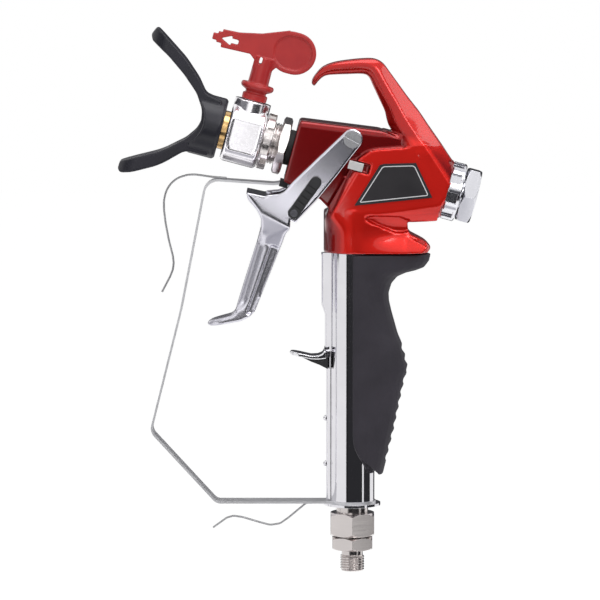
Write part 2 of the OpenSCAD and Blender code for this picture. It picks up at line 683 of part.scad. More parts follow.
// The fluted collar behind the casting
module rear_sleeve() color([0.86, 0.86, 0.88]) on_valve() difference() {
    union() {
        axial_chamfered(-sleeve_a, -rear_a, sleeve_r, 0.6);
        axial(-rear_a - over, -rear_a + 7.4, chamber_r + 4);
    }
    axial(-100, 0, chamber_r);
    for (k = [0:sleeve_flutes - 1]) rotate([(k + 0.5) * 360 / sleeve_flutes, 0, 0])
        translate([rear_a - over, -3, sleeve_r - 1.7]) cube([sleeve_len - 0.6, 6, 5]);
}

module rear_cap() color([0.9, 0.9, 0.92]) on_valve() difference() {
    union() {
        axial(-cap_a, -rear_a + 9, chamber_r);
        translate([cap_a, 0, 0]) rotate([0, 90, 0]) hex_body(head_af, cap_len, 1.6);
    }
    axial(-cap_a - cap_len - over, -cap_a - cap_len + 2, 7);
    axial(-rear_a + 4, 0, spring_r - 2);
}

// ---- Trigger ----
module arm_outline() {
    circle(boss_r);
    polygon(concat(arm_front, [[-47, -30.6], [-44, -38.6]], arm_rear));
}
module trigger_outline() polygon(concat([[-36.9, -28.4], [-40.2, -30]], horn, blade_front, toe, blade_rear,
    [[-31, -45.7], [-24, -38.2]]));

// Forked lever: two arms that straddle the casting, joined above a two-finger blade
module trigger() color([0.70, 0.70, 0.74]) translate([pivot[0], 0, pivot[1]]) difference() {
    union() {
        both_sides(arm_y0, arm_y1) arm_outline();
        intersection() {
            hull() {
                side(2 * arm_y1) polygon([[-58, -29], [-45, -31.8], [-33.8, -45], [-34, -48.5], [-50, -40]]);
                side(2 * blade_half_w) polygon([[-52, -57], [-50, -44], [-36, -52], [-39, -60]]);
            }
            side(2 * arm_y1) trigger_outline();
        }
        intersection() {
            side(2 * blade_half_w) trigger_outline();
            translate([-120, -20, -120]) cube([120, 40, 66]);
            union() {
                translate([-120, -blade_half_w, -92]) cube([120, 2 * blade_half_w, 50]);
                translate([-120, 0, -92]) rotate([0, 90, 0]) cylinder(h = 120, r = blade_half_w);
                translate([-80 + blade_half_w, 0, -120]) cylinder(h = 60, r = blade_half_w);
                translate([-80 + blade_half_w, -blade_half_w, -120]) cube([60, 2 * blade_half_w, 60]);
            }
        }
    }
    // The finger hollows at both sides of the blade's rear edge
    both_sides(blade_half_w - 2.4, 30) polygon([[-44.5, -58.5], [-39, -60.5], [-46, -78], [-54.4, -97],
        [-58, -96.4], [-51, -77]]);
    rotate([90, 0, 0]) cylinder(h = 60, r = pivot_r + fit, center = true);
    translate([lock_pivot[0], 0, lock_pivot[1]]) rotate([90, 0, 0])
        cylinder(h = 60, r = lock_shaft_r + fit, center = true);
}

// Slotted shoulder screws that the arms swing on
module pivot_screws() color([0.62, 0.62, 0.65]) translate([pivot[0], 0, pivot[1]]) for (s = [-1, 1])
    mirror([0, s > 0 ? 1 : 0, 0]) rotate([90, 0, 0]) difference() {
        union() {
            translate([0, 0, core_half_w - 8]) cylinder(h = 8, r = pivot_r - 0.4);
            translate([0, 0, core_half_w]) cylinder(h = arm_y1 - core_half_w + hinge_gap, r = pivot_r);
            translate([0, 0, arm_y1 + hinge_gap]) cylinder(h = 1.7, r = screw_head_r);
        }
        translate([0, 0, arm_y1 + hinge_gap + 1.4]) rotate(-28) cube([20, 1.3, 1.6], center = true);
    }

// Places its children along the lock lever's length, outside the near arm
module on_lock() translate([pivot[0] + lock_pivot[0], 0, pivot[1] + lock_pivot[1]])
    rotate([0, -lock_angle, 0]) children();

module lock_lever() color([0.13, 0.13, 0.14]) on_lock() difference() {
    translate([0, -lock_y - lock_t / 2, 0]) side(lock_t) stadium([0, 0], [lock_len, 0], lock_r);
    for (k = [1:5]) translate([k * lock_len / 6, -lock_y - lock_t, 0])
        cube([0.9, 1, 2 * lock_r - 1.4], center = true);
    rotate([90, 0, 0]) cylinder(h = 60, r = lock_shaft_r, center = true);
}

module lock_shaft() color([0.6, 0.6, 0.62]) on_lock() {
    rotate([90, 0, 0]) cylinder(h = lock_y + lock_t, r = lock_shaft_r);
    rotate([-90, 0, 0]) cylinder(h = lock_y + 1.4, r = lock_shaft_r);
    // The cam between the arms
    difference() {
        rotate([90, 0, 0]) cylinder(h = 12, r = lock_shaft_r + 1.4, center = true);
        translate([-5, -10, -5]) cube([10, 20, 3.2]);
    }
}

module lock_clip() color([0.5, 0.5, 0.52]) on_lock() difference() {
    translate([0, lock_y, 0]) rotate([-90, 0, 0]) cylinder(h = 1, r = lock_shaft_r + 1.6);
    rotate([90, 0, 0]) cylinder(h = 60, r = lock_shaft_r, center = true);
}

// ---- Spray tip and guard ----
module captive_nut() color([0.84, 0.84, 0.86]) on_valve() difference() {
    axial_chamfered(thread_end - 4.6, thread_end, nut_r, 0.5);
    axial(0, 100, head_thread_r);
    for (k = [0:nut_slots - 1]) rotate([k * 360 / nut_slots + 8, 0, 0])
        translate([-thread_end + 1, -3.2, head_thread_r + 1.2]) cube([10, 6.4, 10]);
}

module tip_holder() color([0.9, 0.89, 0.92]) on_valve() difference() {
    union() {
        axial_chamfered(holder_a, holder_end, holder_r, 1.4);
        translate([-tip_a, 0, 0]) cylinder(h = holder_top, r = holder_boss_r);
    }
    both_sides(holder_r - 2.6, 30) {
        translate([-tip_a, -3.5]) circle(8.6);
        translate([-tip_a - 8.6, -3.5]) square([17.2, 19]);
    }
    axial(holder_a - over, holder_a + journal_len + 0.3, 8 + fit);
    axial(holder_a, tip_a, 5);
    axial(tip_a, holder_end + over, 3.4);
    translate([-tip_a, 0, -8]) cylinder(h = 40, r = barrel_r + fit);
}

module tip_seal() color([0.2, 0.2, 0.2]) on_valve() difference() {
    axial(holder_a + journal_len + 0.3, holder_a + journal_len + 1.2, 5);
    axial(0, 100, 1.6);
}

module tip_saddle() color([0.6, 0.6, 0.63]) on_valve() difference() {
    axial(holder_a + journal_len + 1.2, tip_a, 5);
    axial(0, 100, 1.6);
    translate([-tip_a, 0, -20]) cylinder(h = 40, r = barrel_r + 2 * fit);
}

module tip_barrel() color([0.75, 0.75, 0.78]) on_valve() difference() {
    translate([-tip_a, 0, -7.7]) cylinder(h = 7.7 + holder_top + 5, r = barrel_r);
    axial(tip_a - 10, tip_a + 10, 2);
}

module tip_insert() color([0.35, 0.35, 0.38]) on_valve() difference() {
    axial(tip_a - 2, tip_a + 3.6, 2);
    axial(tip_a - 10, tip_a + 10, 0.5);
}

// The flag handle that turns the tip round, with its arrow
module tip_flag() color([0.75, 0.2, 0.2]) on_valve() translate([-tip_a, 0, holder_top + 0.4]) difference() {
    union() {
        cylinder(h = 3.4, r = 6.9);
        rotate_extrude() polygon([[0, 3], [5.9, 3], [5.6, 4.8], [8.4, 6.2], [9.2, 7.4], [9, 8.8], [8.2, 9.3],
            [6.4, 8.7], [5.7, 9.8], [5.5, 24], [0, 24]]);
        valve_side(flag_t) {
            polygon([[26, 33.2], [17, 33.7], [4.7, 36.4], [-9.5, 41.9], [-14, 30], [-6, 18.7],
                [-5, 17], [5.5, 17], [5.5, 21.6], [8.5, 24], [25, 23.4]]);
            stadium([-12.8, 30.4], [-15.4, 30.4], 11.5);
            translate([24.5, 25.6]) square([nose_reach - 24.5 - 2.6, 6]);
            translate([24.5, 26.6]) square([nose_reach - 24.5, 3.6]);
        }
    }
    translate([0, 0, -over]) cylinder(h = over + 4.6, r = barrel_r);
    both_sides(flag_t / 2 - 0.7, 20) mirror([1, 0, 0]) stadium([-12.8, 30.4], [-15.4, 30.4], 9.3);
    // The arrow and the slot are cut right through
    valve_side(30) {
        polygon([[25.9, 28.3], [20.1, 31.1], [20.1, 29.6], [16.2, 29.6], [16.2, 27], [20.1, 27],
            [20.1, 25.5]]);
        translate([1, 20.2]) square([1.6, 3.7]);
    }
}

module brass_ring() color([0.75, 0.55, 0.27]) on_valve() difference() {
    axial(holder_end, collar_a, brass_r);
    axial(0, 200, 4);
}

// The side view of both wings and the valley between them, as [forward, up, corner's radius]
wings = [[-9.5, 15.5, 0], [-0.4, 17.2, 5], [5.4, 24.3, 30], [14.8, 32.7, 40], [22.6, 37.9, 30], [34.6, 45.8, 1.6],
    [36.8, 40.6, 2], [35.3, 37.7, 1.4], [24.5, 31.7, 30], [14, 24.4, 40], [4.6, 16.2, 18], [-0.6, 8.2, 12],
    [-1.6, 1.8, 10], [-0.2, -3.4, 10], [4, -9.4, 14], [15.1, -19.2, 40], [30, -27.4, 30], [35.8, -30.6, 2],
    [36, -37.6, 2.4], [27.6, -34.6, 30], [14, -27, 40], [2.6, -15.7, 8], [-9.5, -15.5, 0]];
module wings_outline() polygon(rounded_path([for (p = wings) [wing_a + p[0] * wing_reach / 36.2, p[1], p[2]]]));
module tip_guard() color([0.16, 0.16, 0.18]) on_valve() difference() {
    union() {
        difference() {
            axial_chamfered(collar_a, wing_a + 2.6, collar_r, 1.2);
            // The collar stands back a little from the wings' edges
            translate([-wing_a - valley_r + 3.2, 0, 1.2]) rotate([90, 0, 0])
                cylinder(h = 60, r = valley_r, center = true);
        }
        intersection() {
            valve_side(2 * wing_half_w) wings_outline();
            // Seen from above, the wings have parallel sides and round ends
            linear_extrude(160, center = true) union() {
                translate([-wing_a - wing_reach + wing_half_w - 1, 0]) circle(wing_half_w, $fn = 64);
                translate([-wing_a - wing_reach + wing_half_w - 1, -wing_half_w]) square([80, 2 * wing_half_w]);
            }
        }
    }
    translate([-wing_a - 8, 0, 0]) rotate([0, 90, 0]) cylinder(h = 14, r1 = 14, r2 = 7);
    axial(0, 200, 6);
}

// ---- Hand guard ----
clamp_low = on_head(front_a + 1.6, -front_bottom - 1.8);
strap_path = rounded_path([[clamp_low[0] + 2.4, clamp_low[1] + 0.1, 0], [clamp_low[0] - 3.4, clamp_low[1] - 0.6, 3],
    [clamp_low[0] - 40.2, clamp_low[1] + 2, 8], [16.8 - strap_belly, clamp_low[1] - 70, 160],
    [-strap_belly, tube_z + 38.8, 6], [36.2 - strap_belly, strap_z + strap_t / 2, 5],
    [-stud_r - 1, strap_z + strap_t / 2, 0]]);
module strap_strip() side(strap_w) polygon(concat(beside(strap_path, strap_t / 2),
    [for (k = [len(strap_path) - 1:-1:0]) beside(strap_path, -strap_t / 2)[k]]));

module guard_strap() color([0.62, 0.62, 0.66]) difference() {
    union() {
        strap_strip();
        translate([0, 0, strap_z]) cylinder(h = strap_t, r = flange_r - 2.5, $fn = 64);
    }
    translate([0, 0, strap_z - over]) cylinder(h = strap_t + 2 * over, r = stud_r);
}

module guard_clamp() color([0.08, 0.08, 0.09]) difference() {
    on_valve() translate([-front_a - 1.7, -strap_w / 2 - 1.5, -front_bottom - 3.4])
        cube([4.6, strap_w + 3, 3.4]);
    strap_strip();
    side(60) core_outline();
}

// The sprung wires that leave the strap
upper_start = [clamp_low[0] - 29, clamp_low[1] + 2.3];
upper_path = rounded_path([[0, 0, 0], [-8.6, 0.7, 20], [-17.4, 1.9, 12], [-21.2, 1.8, 12], [-26.5, 0.3, 12],
    [-30.7, -2.8, 12], [-33.4, -7.2, 12], [-34.6, -12.3, 12], [-34.6, -17.1, 20], [-33.7, -24.8, 30],
    [-31.9, -34.4, 30], [-29.8, -42.7, 12], [-29.3, -46.9, 8], [-29.8, -50.5, 8], [-31.3, -54.3, 12],
    [-35.8, -62.9, 0]], 3);
module guard_wire_upper() color([0.5, 0.5, 0.54]) wire([for (p = upper_path) upper_start + p], wire_d / 2);
lower_start = [-27, strap_z - wire_d / 2 + 0.04];
lower_path = rounded_path([[5, 0, 0], [1.6, 0, 3], [-8.2, -8.2, 12], [-12.9, -11.5, 4], [-18.4, -12.4, 8],
    [-26.6, -10.1, 12], [-33.5, -8, 12], [-38.7, -7.2, 5], [-42.4, -8.3, 5], [-50, -13.8, 0]], 3);
module guard_wire_lower() color([0.5, 0.5, 0.54]) wire([for (p = lower_path) lower_start + p], wire_d / 2);

swivel_nipple();
swivel_body();
swivel_seal();
handle_fitting();
bottom_flange();
handle_tube();
filter_spring();
handle_filter();
tube_spine();
spine_rivets();
finger_rest();
finger_rest_pad();
grip();
body_casting();
side_plates();
gun_head();
head_gasket();
valve_seat();
packing_seals();
packing_nut();
needle();
needle_yoke();
return_spring();
rear_sleeve();
rear_cap();
trigger();
pivot_screws();
lock_lever();
lock_shaft();
lock_clip();
captive_nut();
tip_holder();
tip_seal();
tip_saddle();
tip_barrel();
tip_insert();
tip_flag();
brass_ring();
tip_guard();
guard_strap();
guard_clamp();
guard_wire_upper();
guard_wire_lower();
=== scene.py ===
# %% [markdown]
# # Airless paint spray gun
# The solids come ready made, each in its place, as the fixed frame of this scene. What is left
# for Blender is the look: cast metal with soft edges, cut threads, polished and plated
# surfaces, and the light of a small studio. Blender works in metres, so a number of
# millimetres is multiplied by MM. The gun sprays towards -X, with +Z up its handle.

# %% Load the frame
import json
import math

import bmesh
import bpy
from mathutils import Matrix, Vector

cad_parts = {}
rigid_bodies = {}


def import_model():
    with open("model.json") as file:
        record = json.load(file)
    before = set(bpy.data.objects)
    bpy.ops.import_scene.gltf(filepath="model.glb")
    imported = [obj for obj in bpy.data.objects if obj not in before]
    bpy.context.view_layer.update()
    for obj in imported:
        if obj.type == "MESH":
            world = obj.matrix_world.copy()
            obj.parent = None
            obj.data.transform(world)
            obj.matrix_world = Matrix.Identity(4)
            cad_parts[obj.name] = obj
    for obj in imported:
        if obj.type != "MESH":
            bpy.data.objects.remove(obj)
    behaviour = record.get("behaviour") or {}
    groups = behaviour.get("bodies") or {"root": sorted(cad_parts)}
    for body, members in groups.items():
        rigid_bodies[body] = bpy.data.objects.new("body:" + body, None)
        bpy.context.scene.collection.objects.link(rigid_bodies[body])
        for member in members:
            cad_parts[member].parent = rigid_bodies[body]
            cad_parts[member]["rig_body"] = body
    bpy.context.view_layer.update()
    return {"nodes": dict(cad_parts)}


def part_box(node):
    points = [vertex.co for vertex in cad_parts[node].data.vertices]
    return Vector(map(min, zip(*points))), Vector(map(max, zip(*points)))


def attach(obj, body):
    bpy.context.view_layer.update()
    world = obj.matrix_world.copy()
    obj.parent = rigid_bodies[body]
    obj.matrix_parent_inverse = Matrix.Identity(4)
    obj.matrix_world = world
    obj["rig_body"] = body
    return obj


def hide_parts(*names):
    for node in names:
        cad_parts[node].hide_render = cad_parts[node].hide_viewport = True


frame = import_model()
MM = 0.001

# %% [markdown]
# ## The camera
# A long lens from a few metres away keeps the gun's proportions. It stands a little higher
# than the middle of the gun, so the foot of the handle is seen from above and the head almost
# square on. The lens could be set by eye. Here it follows from the width that should fit in
# the view at the gun's distance, which needs no trying.

# %% Camera
TARGET = Vector((-28.9, 0, 150.2)) * MM
DISTANCE = 2.5
ELEVATION = math.radians(6)
FIELD_WIDTH = 0.330
SENSOR_WIDTH = 36
NEAREST = 0.05


def place_in_scene(thing):
    bpy.context.scene.collection.objects.link(thing)
    return thing


def facing_away(direction):
    """The turn of a camera or lamp that looks back against a direction."""
    return direction.to_track_quat("Z", "Y").to_euler()


camera_data = bpy.data.cameras.new("camera")
camera_data.sensor_width = SENSOR_WIDTH
camera_data.lens = SENSOR_WIDTH * DISTANCE / FIELD_WIDTH
camera_data.clip_start = NEAREST
camera = place_in_scene(bpy.data.objects.new("camera", camera_data))
away = Vector((0, -math.cos(ELEVATION), math.sin(ELEVATION)))
camera.location = TARGET + away * DISTANCE
camera.rotation_euler = facing_away(away)
bpy.context.scene.camera = camera
print("camera at", [round(v, 3) for v in camera.location], "lens", round(camera_data.lens, 1))

# %% [markdown]
# ## Helpers for shapes
# A solid's mesh is never edited. Where a piece needs a finer form, a copy of it is worked on as
# a bmesh, and the result stands in for the solid: it rides on the same body and takes the same
# material slot. The copy is merged first, because the solids are loose triangles.

# %% Shape helpers
WELD = 0.002 * MM


def add_object(name, mesh, body):
    piece = place_in_scene(bpy.data.objects.new(name, mesh))
    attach(piece, body)
    return piece


def stand_in(node, name, mesh):
    """Adds a mesh that takes a solid's place."""
    piece = add_object(name, mesh, frame["nodes"][node]["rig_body"])
    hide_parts(node)
    return piece


def merged_copy(node):
    """A bmesh of a solid's loose triangles, joined where their corners meet."""
    bm = bmesh.new()
    bm.from_mesh(frame["nodes"][node].data)
    bmesh.ops.remove_doubles(bm, verts=bm.verts, dist=WELD)
    return bm


def written(bm, name):
    """Writes a bmesh out as a mesh, and frees it."""
    mesh = bpy.data.meshes.new(name)
    bm.to_mesh(mesh)
    bm.free()
    return mesh


def smooth_mesh(bm, name, sharpest=None):
    """Writes a bmesh out smooth; edges that turn by more than the sharpest angle stay hard."""
    bm.normal_update()
    for face in bm.faces:
        face.smooth = True
    if sharpest is not None:
        for edge in bm.edges:
            if edge.is_manifold and edge.calc_face_angle(0) > sharpest:
                edge.smooth = False
    return written(bm, name)


def moved_verts(geometry):
    """The vertices among what an extrusion made."""
    return [item for item in geometry if isinstance(item, bmesh.types.BMVert)]


# %% [markdown]
# Three small functions steer most of the shaping below. The first holds a number between 0
# and 1, the second also gives it a soft start and end, and the third climbs from 0 to 1
# between two places. What a soft ramp drives has no kink where it begins. When the first of
# the two places is the higher one, the ramp falls instead.

# %% Soft ramps
def clamped(t):
    return min(max(t, 0), 1)


def eased(t):
    t = clamped(t)
    return t * t * (3 - 2 * t)


def ramp(value, start, end):
    return eased((value - start) / (end - start))


print("a ramp from 10 to 20, at 12, 15 and 18:",
      [round(ramp(place, 10, 20), 2) for place in (12, 15, 18)])

# %% [markdown]
# ## The sculpted casting
# The hanging hook is the finest form of the casting: a bar that bends twice, swells, and runs
# down into the body, with a ridge along each side that catches the light. The solid has it in
# straight lengths. Here it is lofted: eight-sided sections are bridged from station to
# station, and each station says where the bar's inner and outer edge are and how wide it is.
# A smooth curve through the stations fills in the steps between them.

# %% Hook stations
# in mm, with z from the height of the valve: inner x and z, outer x and z, half the width at
# the ridges and at the edges; then how far out the outer ridge lies, as a share of the way
HOOK = [
    (-21.0, 42.9, -22.8, 44.2, 5.0, 4.4, 0.72),
    (-19.6, 44.9, -22.3, 46.6, 5.6, 4.8, 0.72),
    (-17.9, 46.8, -20.2, 49.8, 5.9, 4.9, 0.72),
    (-15.1, 48.8, -16.5, 53.6, 6.2, 5.0, 0.72),
    (-10.0, 49.4, -10.8, 56.0, 6.4, 5.0, 0.70),
    (-3.4, 49.6, -3.4, 57.3, 6.6, 5.1, 0.68),
    (3.5, 49.9, 4.5, 58.1, 6.9, 5.1, 0.66),
    (7.3, 49.4, 11.5, 58.1, 7.3, 5.2, 0.64),
    (9.1, 47.6, 16.4, 55.6, 7.8, 5.3, 0.60),
    (10.8, 43.8, 20.5, 50.3, 8.4, 5.5, 0.57),
    (14.0, 36.9, 24.8, 44.4, 9.4, 6.0, 0.55),
    (17.4, 29.6, 30.1, 37.1, 10.8, 6.8, 0.55),
    (19.5, 22.0, 36.4, 29.0, 12.6, 7.6, 0.55),
    (25.0, 14.0, 42.0, 20.7, 14.4, 8.6, 0.55),
    (29.5, 8.0, 48.5, 11.4, 15.6, 9.4, 0.55),
    (33.0, 2.0, 54.4, 2.4, 15.6, 9.4, 0.55),
]
INNER_RIDGE = 0.24
STEPS = 6
HEAD_Z = 225 * MM


def between(rows, index, t):
    """A smooth (Catmull-Rom) curve through the rows, from one of them to the next."""
    last = len(rows) - 1
    near = [rows[min(max(index + k, 0), last)] for k in (-1, 0, 1, 2)]
    return [b + 0.5 * t * (c - a + t * (2 * a - 5 * b + 4 * c - d + t * (3 * (b - c) + d - a)))
            for a, b, c, d in zip(*near)]


def hook_section(inner_x, inner_z, outer_x, outer_z, wide, narrow, ridge):
    """The eight corners of the bar's section, up one side of it and down the other."""
    inner = Vector((inner_x, 0, inner_z)) * MM
    outer = Vector((outer_x, 0, outer_z)) * MM
    side = [(0, narrow), (INNER_RIDGE, wide), (ridge, wide), (1, narrow)]
    places = side + [(share, -half) for share, half in reversed(side)]
    return [inner.lerp(outer, share) + Vector((0, half * MM, HEAD_Z)) for share, half in places]


def loft_hook(bm):
    rings = []
    for k in range(STEPS * (len(HOOK) - 1) + 1):
        row = between(HOOK, k // STEPS, k % STEPS / STEPS)
        verts = [bm.verts.new(place) for place in hook_section(*row)]
        rings.append([bm.edges.new(pair) for pair in zip(verts, verts[1:] + verts[:1])])
    for pair in zip(rings, rings[1:]):
        bmesh.ops.bridge_loops(bm, edges=pair[0] + pair[1])
    bmesh.ops.holes_fill(bm, edges=rings[0] + rings[-1], sides=0)
    print("hook:", len(rings), "sections")


# %% [markdown]
# Two more forms are added. Under the notch the side runs in one sweep from the neck to the
# thumb shelf, so a plain block fills that side and the sculpting below slopes it. And the
# round neck swells up into the wider body: the convex hull of a circle low down and the
# rounded corners higher up is just that shape.

# %% Fill the neck and skirt
# the skirt from the side, as x and z, and half its width
SKIRT = [(-4, 177.2), (38, 177.2), (41.2, 180.4), (30, 186.4), (27, 187.9), (22.5, 188.5),
         (9.5, 193.9), (5.6, 196.8), (-4, 198)]
SKIRT_HALF = 15.5
NECK_FOOT_Z = 179
NECK_FOOT_RADIUS = 15.9
NECK_TOP_Z = 190.7
# the body's corner in front is an arc about this x and y, and its side starts at this point
ARC_X, ARC_Y, ARC_RADIUS = -8.1, 8.6, 7
SIDE_START = (4, 15.6)
ARC_TURNS = [math.radians(turn) for turn in range(0, 91, 10)]
NECK_CORNERS = [SIDE_START] + [(ARC_X - ARC_RADIUS * math.sin(turn),
                                ARC_Y + ARC_RADIUS * math.cos(turn)) for turn in ARC_TURNS]


def fill_skirt(bm):
    outline = bm.faces.new([bm.verts.new((x * MM, -SKIRT_HALF * MM, z * MM)) for x, z in SKIRT])
    outer = bmesh.ops.extrude_face_region(bm, geom=[outline])["geom"]
    bmesh.ops.translate(bm, verts=moved_verts(outer), vec=(0, 2 * SKIRT_HALF * MM, 0))


def fill_neck(bm):
    foot = bmesh.ops.create_circle(bm, segments=48, radius=NECK_FOOT_RADIUS * MM,
                                   matrix=Matrix.Translation((0, 0, NECK_FOOT_Z * MM)))["verts"]
    corners = [bm.verts.new((x * MM, side * y * MM, NECK_TOP_Z * MM))
               for x, y in NECK_CORNERS for side in (-1, 1)]
    bmesh.ops.convex_hull(bm, input=foot + corners)


# %% [markdown]
# The solid's own straight hook is sliced off along a sloping plane, and two more slices carry
# the ridge's facet down to the rear of the body. Each cut is closed again. The new forms are
# then laid into the copy as closed shells that overlap it. A boolean could join them, but the
# remeshing further on does that anyway, and it never fails on faces that nearly touch.

# %% Join the casting's forms
# a point on each plane, and the direction in which it cuts everything away
HOOK_CUT = (Vector((14, 0, 245.6)) * MM, Vector((0.305, 0, 0.952)))
RIDGE_CUTS = [(Vector((40, side * 15.6, 234.9)) * MM, Vector((0.516, side * 0.789, 0.333)))
              for side in (-1, 1)]
ON_PLANE = 0.001 * MM


def slice_off(bm, place, normal):
    """Removes what lies beyond a plane, and closes the cut."""
    bmesh.ops.bisect_plane(bm, geom=bm.verts[:] + bm.edges[:] + bm.faces[:], dist=ON_PLANE,
                           plane_co=place, plane_no=normal, clear_outer=True)
    rim = [edge for edge in bm.edges if edge.is_boundary]
    bmesh.ops.holes_fill(bm, edges=rim, sides=0)
    bmesh.ops.recalc_face_normals(bm, faces=bm.faces)


def casting_source():
    bm = merged_copy("body_casting")
    for plane in [HOOK_CUT, *RIDGE_CUTS]:
        slice_off(bm, *plane)
    for form in (loft_hook, fill_skirt, fill_neck):
        extra = bmesh.new()
        form(extra)
        bmesh.ops.recalc_face_normals(extra, faces=extra.faces)
        print(form.__name__, "open edges:", sum(e.is_boundary for e in extra.edges))
        bm.from_mesh(written(extra, form.__name__))
    return bm


# %% [markdown]
# ## Sculpting
# Some forms are easier to push into place than to build. A sculpting function takes one
# vertex and gives back where it should be: the sides of the lower block lean in, the neck is
# kept round, and the trigger's blade narrows towards the finger. It works on a mesh of small
# even faces, so it runs after the remeshing. All numbers here are in millimetres.

# %% Sculpt
# the lower block: how far its sides lean, where that starts, and how it grows and fades
LEAN = 2.9
LEAN_FROM = 9
LEAN_UP, LEAN_BACK, LEAN_FADE = (176, 189), (-4, 30), (200, 190)
# the neck: its radius, how much it swells, and between which heights
NECK_RADIUS, NECK_SWELL = 16, 3
SWELLS = (189, 199)
POCKET_X, POCKET_Y, POCKET_Z = (-5, 12), (13.2, 14.4), (219, 231)
POCKET_SINK = 0.35
# the blade's front edge, as a point and the slope of the line through it
BLADE_X, BLADE_Z, BLADE_SLOPE = -51.6, 188.6, 0.295
BLADE_WIDTH = 11
BLADE_TOP, BLADE_TIP = (190, 181), (145, 153)
# the crown: how wide it is, as a share of the blade, and how much narrower it ends
CROWN_SHARE = 0.6
CROWN = 0.5


def lies_in(value, limits):
    return limits[0] * MM < value < limits[1] * MM


def sculpt_casting(place):
    """Leans the sides of the lower block in, most at their top and at the thumb shelf.

    The front of the neck is kept round, and only widens to the body's corners near its top.
    The floor of the yoke's pocket sinks a little, which leaves the sliding tabs their room."""
    x, z = place.x / MM, place.z / MM
    if abs(place.y) > LEAN_FROM * MM:
        lean = LEAN * MM * ramp(z, *LEAN_UP) * ramp(x, *LEAN_BACK) * ramp(z, *LEAN_FADE)
        place.y -= math.copysign(lean, place.y)
    reach = place.xy.length / MM
    widest = NECK_RADIUS + NECK_SWELL * ramp(z, *SWELLS)
    if place.x < 0 and place.z < SWELLS[1] * MM and reach > widest:
        place.xy *= widest / reach
    if (lies_in(place.x, POCKET_X) and lies_in(place.z, POCKET_Z)
            and lies_in(abs(place.y), POCKET_Y)):
        place.y -= math.copysign(POCKET_SINK * MM, place.y)
    return place


def sculpt_blade(place):
    """Narrows the trigger's blade towards its front edge, so that its sides are crowned."""
    x, z = place.x / MM, place.z / MM
    across = (x - BLADE_X + (BLADE_Z - z) * BLADE_SLOPE) / BLADE_WIDTH
    share = ramp(z, *BLADE_TOP) * ramp(z, *BLADE_TIP)
    place.y *= 1 - CROWN * share * clamped(1 - across / CROWN_SHARE) ** 2
    return place


# %% [markdown]
# A polishing wheel takes more off some places than others. So a second function says how much
# more each vertex is smoothed, from 0 to 1: fully where the neck swells, half along the upper
# edges of the front block, and strongly all down the trigger's blade.

# %% Soften
NECK_BACK, NECK_TOP, NECK_FOOT = (14, 4), (202, 196), (177.5, 179.5)
# the block's upper edge and the trigger's fold: a point, the slope of the line through it,
# over how many mm from there the softening sets in, and how strong it gets
EDGE_X, EDGE_Z, EDGE_SLOPE, EDGE_RISE, EDGE_MOST = -29, 246, 0.19, 3, 0.5
FOLD_X, FOLD_Z, FOLD_SLOPE, FOLD_RISE, FOLD_MOST = -57.7, 211, 0.79, 5, 0.8
EDGE_BACK = (18, 12)


def soften_casting(place):
    """The swelling of the neck, and the long upper edges of the front block."""
    x, z = place.x / MM, place.z / MM
    neck = ramp(x, *NECK_BACK) * ramp(z, *NECK_TOP) * ramp(z, *NECK_FOOT)
    above = z - EDGE_Z + EDGE_SLOPE * (x - EDGE_X)
    edge = eased(above / EDGE_RISE) * ramp(x, *EDGE_BACK)
    return max(neck, EDGE_MOST * edge)


def soften_blade(place):
    """Most below the fold that runs across the trigger from its horn to its rear edge."""
    x, z = place.x / MM, place.z / MM
    below = FOLD_Z - FOLD_SLOPE * (x - FOLD_X) - z
    return FOLD_MOST * eased(below / FOLD_RISE)


# %% [markdown]
# ## Soft edges for cast and moulded pieces
# A casting or a moulding has no sharp edges: the mould and the polishing wheel round them
# all. Bevels are hard to add to a solid full of cuts, so these pieces are remade from small
# voxels, with one clean skin over every join, and then smoothed a few times. The rounding is
# about as wide as a voxel or two, so the voxel is chosen by the piece: half a millimetre for
# the castings, less for thin sheet and wire. A skin with too many faces is thinned where it
# is flat.

# %% Soft skins
MOST_QUADS = 90000
SMOOTHING = 0.5


def add_modifier(thing, kind, **settings):
    modifier = thing.modifiers.new(kind.lower(), kind)
    for name, value in settings.items():
        setattr(modifier, name, value)


def finished(thing):
    """The mesh that a piece's modifiers make."""
    bpy.context.view_layer.update()
    return bpy.data.meshes.new_from_object(
        thing.evaluated_get(bpy.context.evaluated_depsgraph_get()))


def soft_skin(node, source, voxel, rounds, sculpt=None, soften=None, more_rounds=0):
    """Replaces a solid by a smoothed voxel skin, sculpted and then softened where asked."""
    work = place_in_scene(bpy.data.objects.new(node, smooth_mesh(source, node + "_source")))
    add_modifier(work, "REMESH", mode="VOXEL", voxel_size=voxel * MM)
    work.data = finished(work)
    work.modifiers.clear()
    if sculpt:
        for vert in work.data.vertices:
            vert.co = sculpt(vert.co.copy())
    add_modifier(work, "SMOOTH", factor=SMOOTHING, iterations=rounds)
    if soften:
        softened = work.vertex_groups.new(name="softened")
        for vert in work.data.vertices:
            softened.add([vert.index], soften(vert.co), "REPLACE")
        add_modifier(work, "SMOOTH", factor=SMOOTHING, iterations=more_rounds,
                     vertex_group=softened.name)
    quads = len(work.data.polygons)
    if quads > MOST_QUADS:
        add_modifier(work, "DECIMATE", ratio=MOST_QUADS / quads)
    mesh = finished(work)
    name = node + "_skin"
    mesh.name = name
    bpy.data.objects.remove(work)
    for polygon in mesh.polygons:
        polygon.use_smooth = True
    print(node, "skin:", quads, "quads made,", len(mesh.polygons), "faces kept")
    return stand_in(node, name, mesh)


# %% [markdown]
# Seven pieces are only rounded. The trigger and the casting are sculpted and softened too, the
# casting with more rounds because its forms are larger.

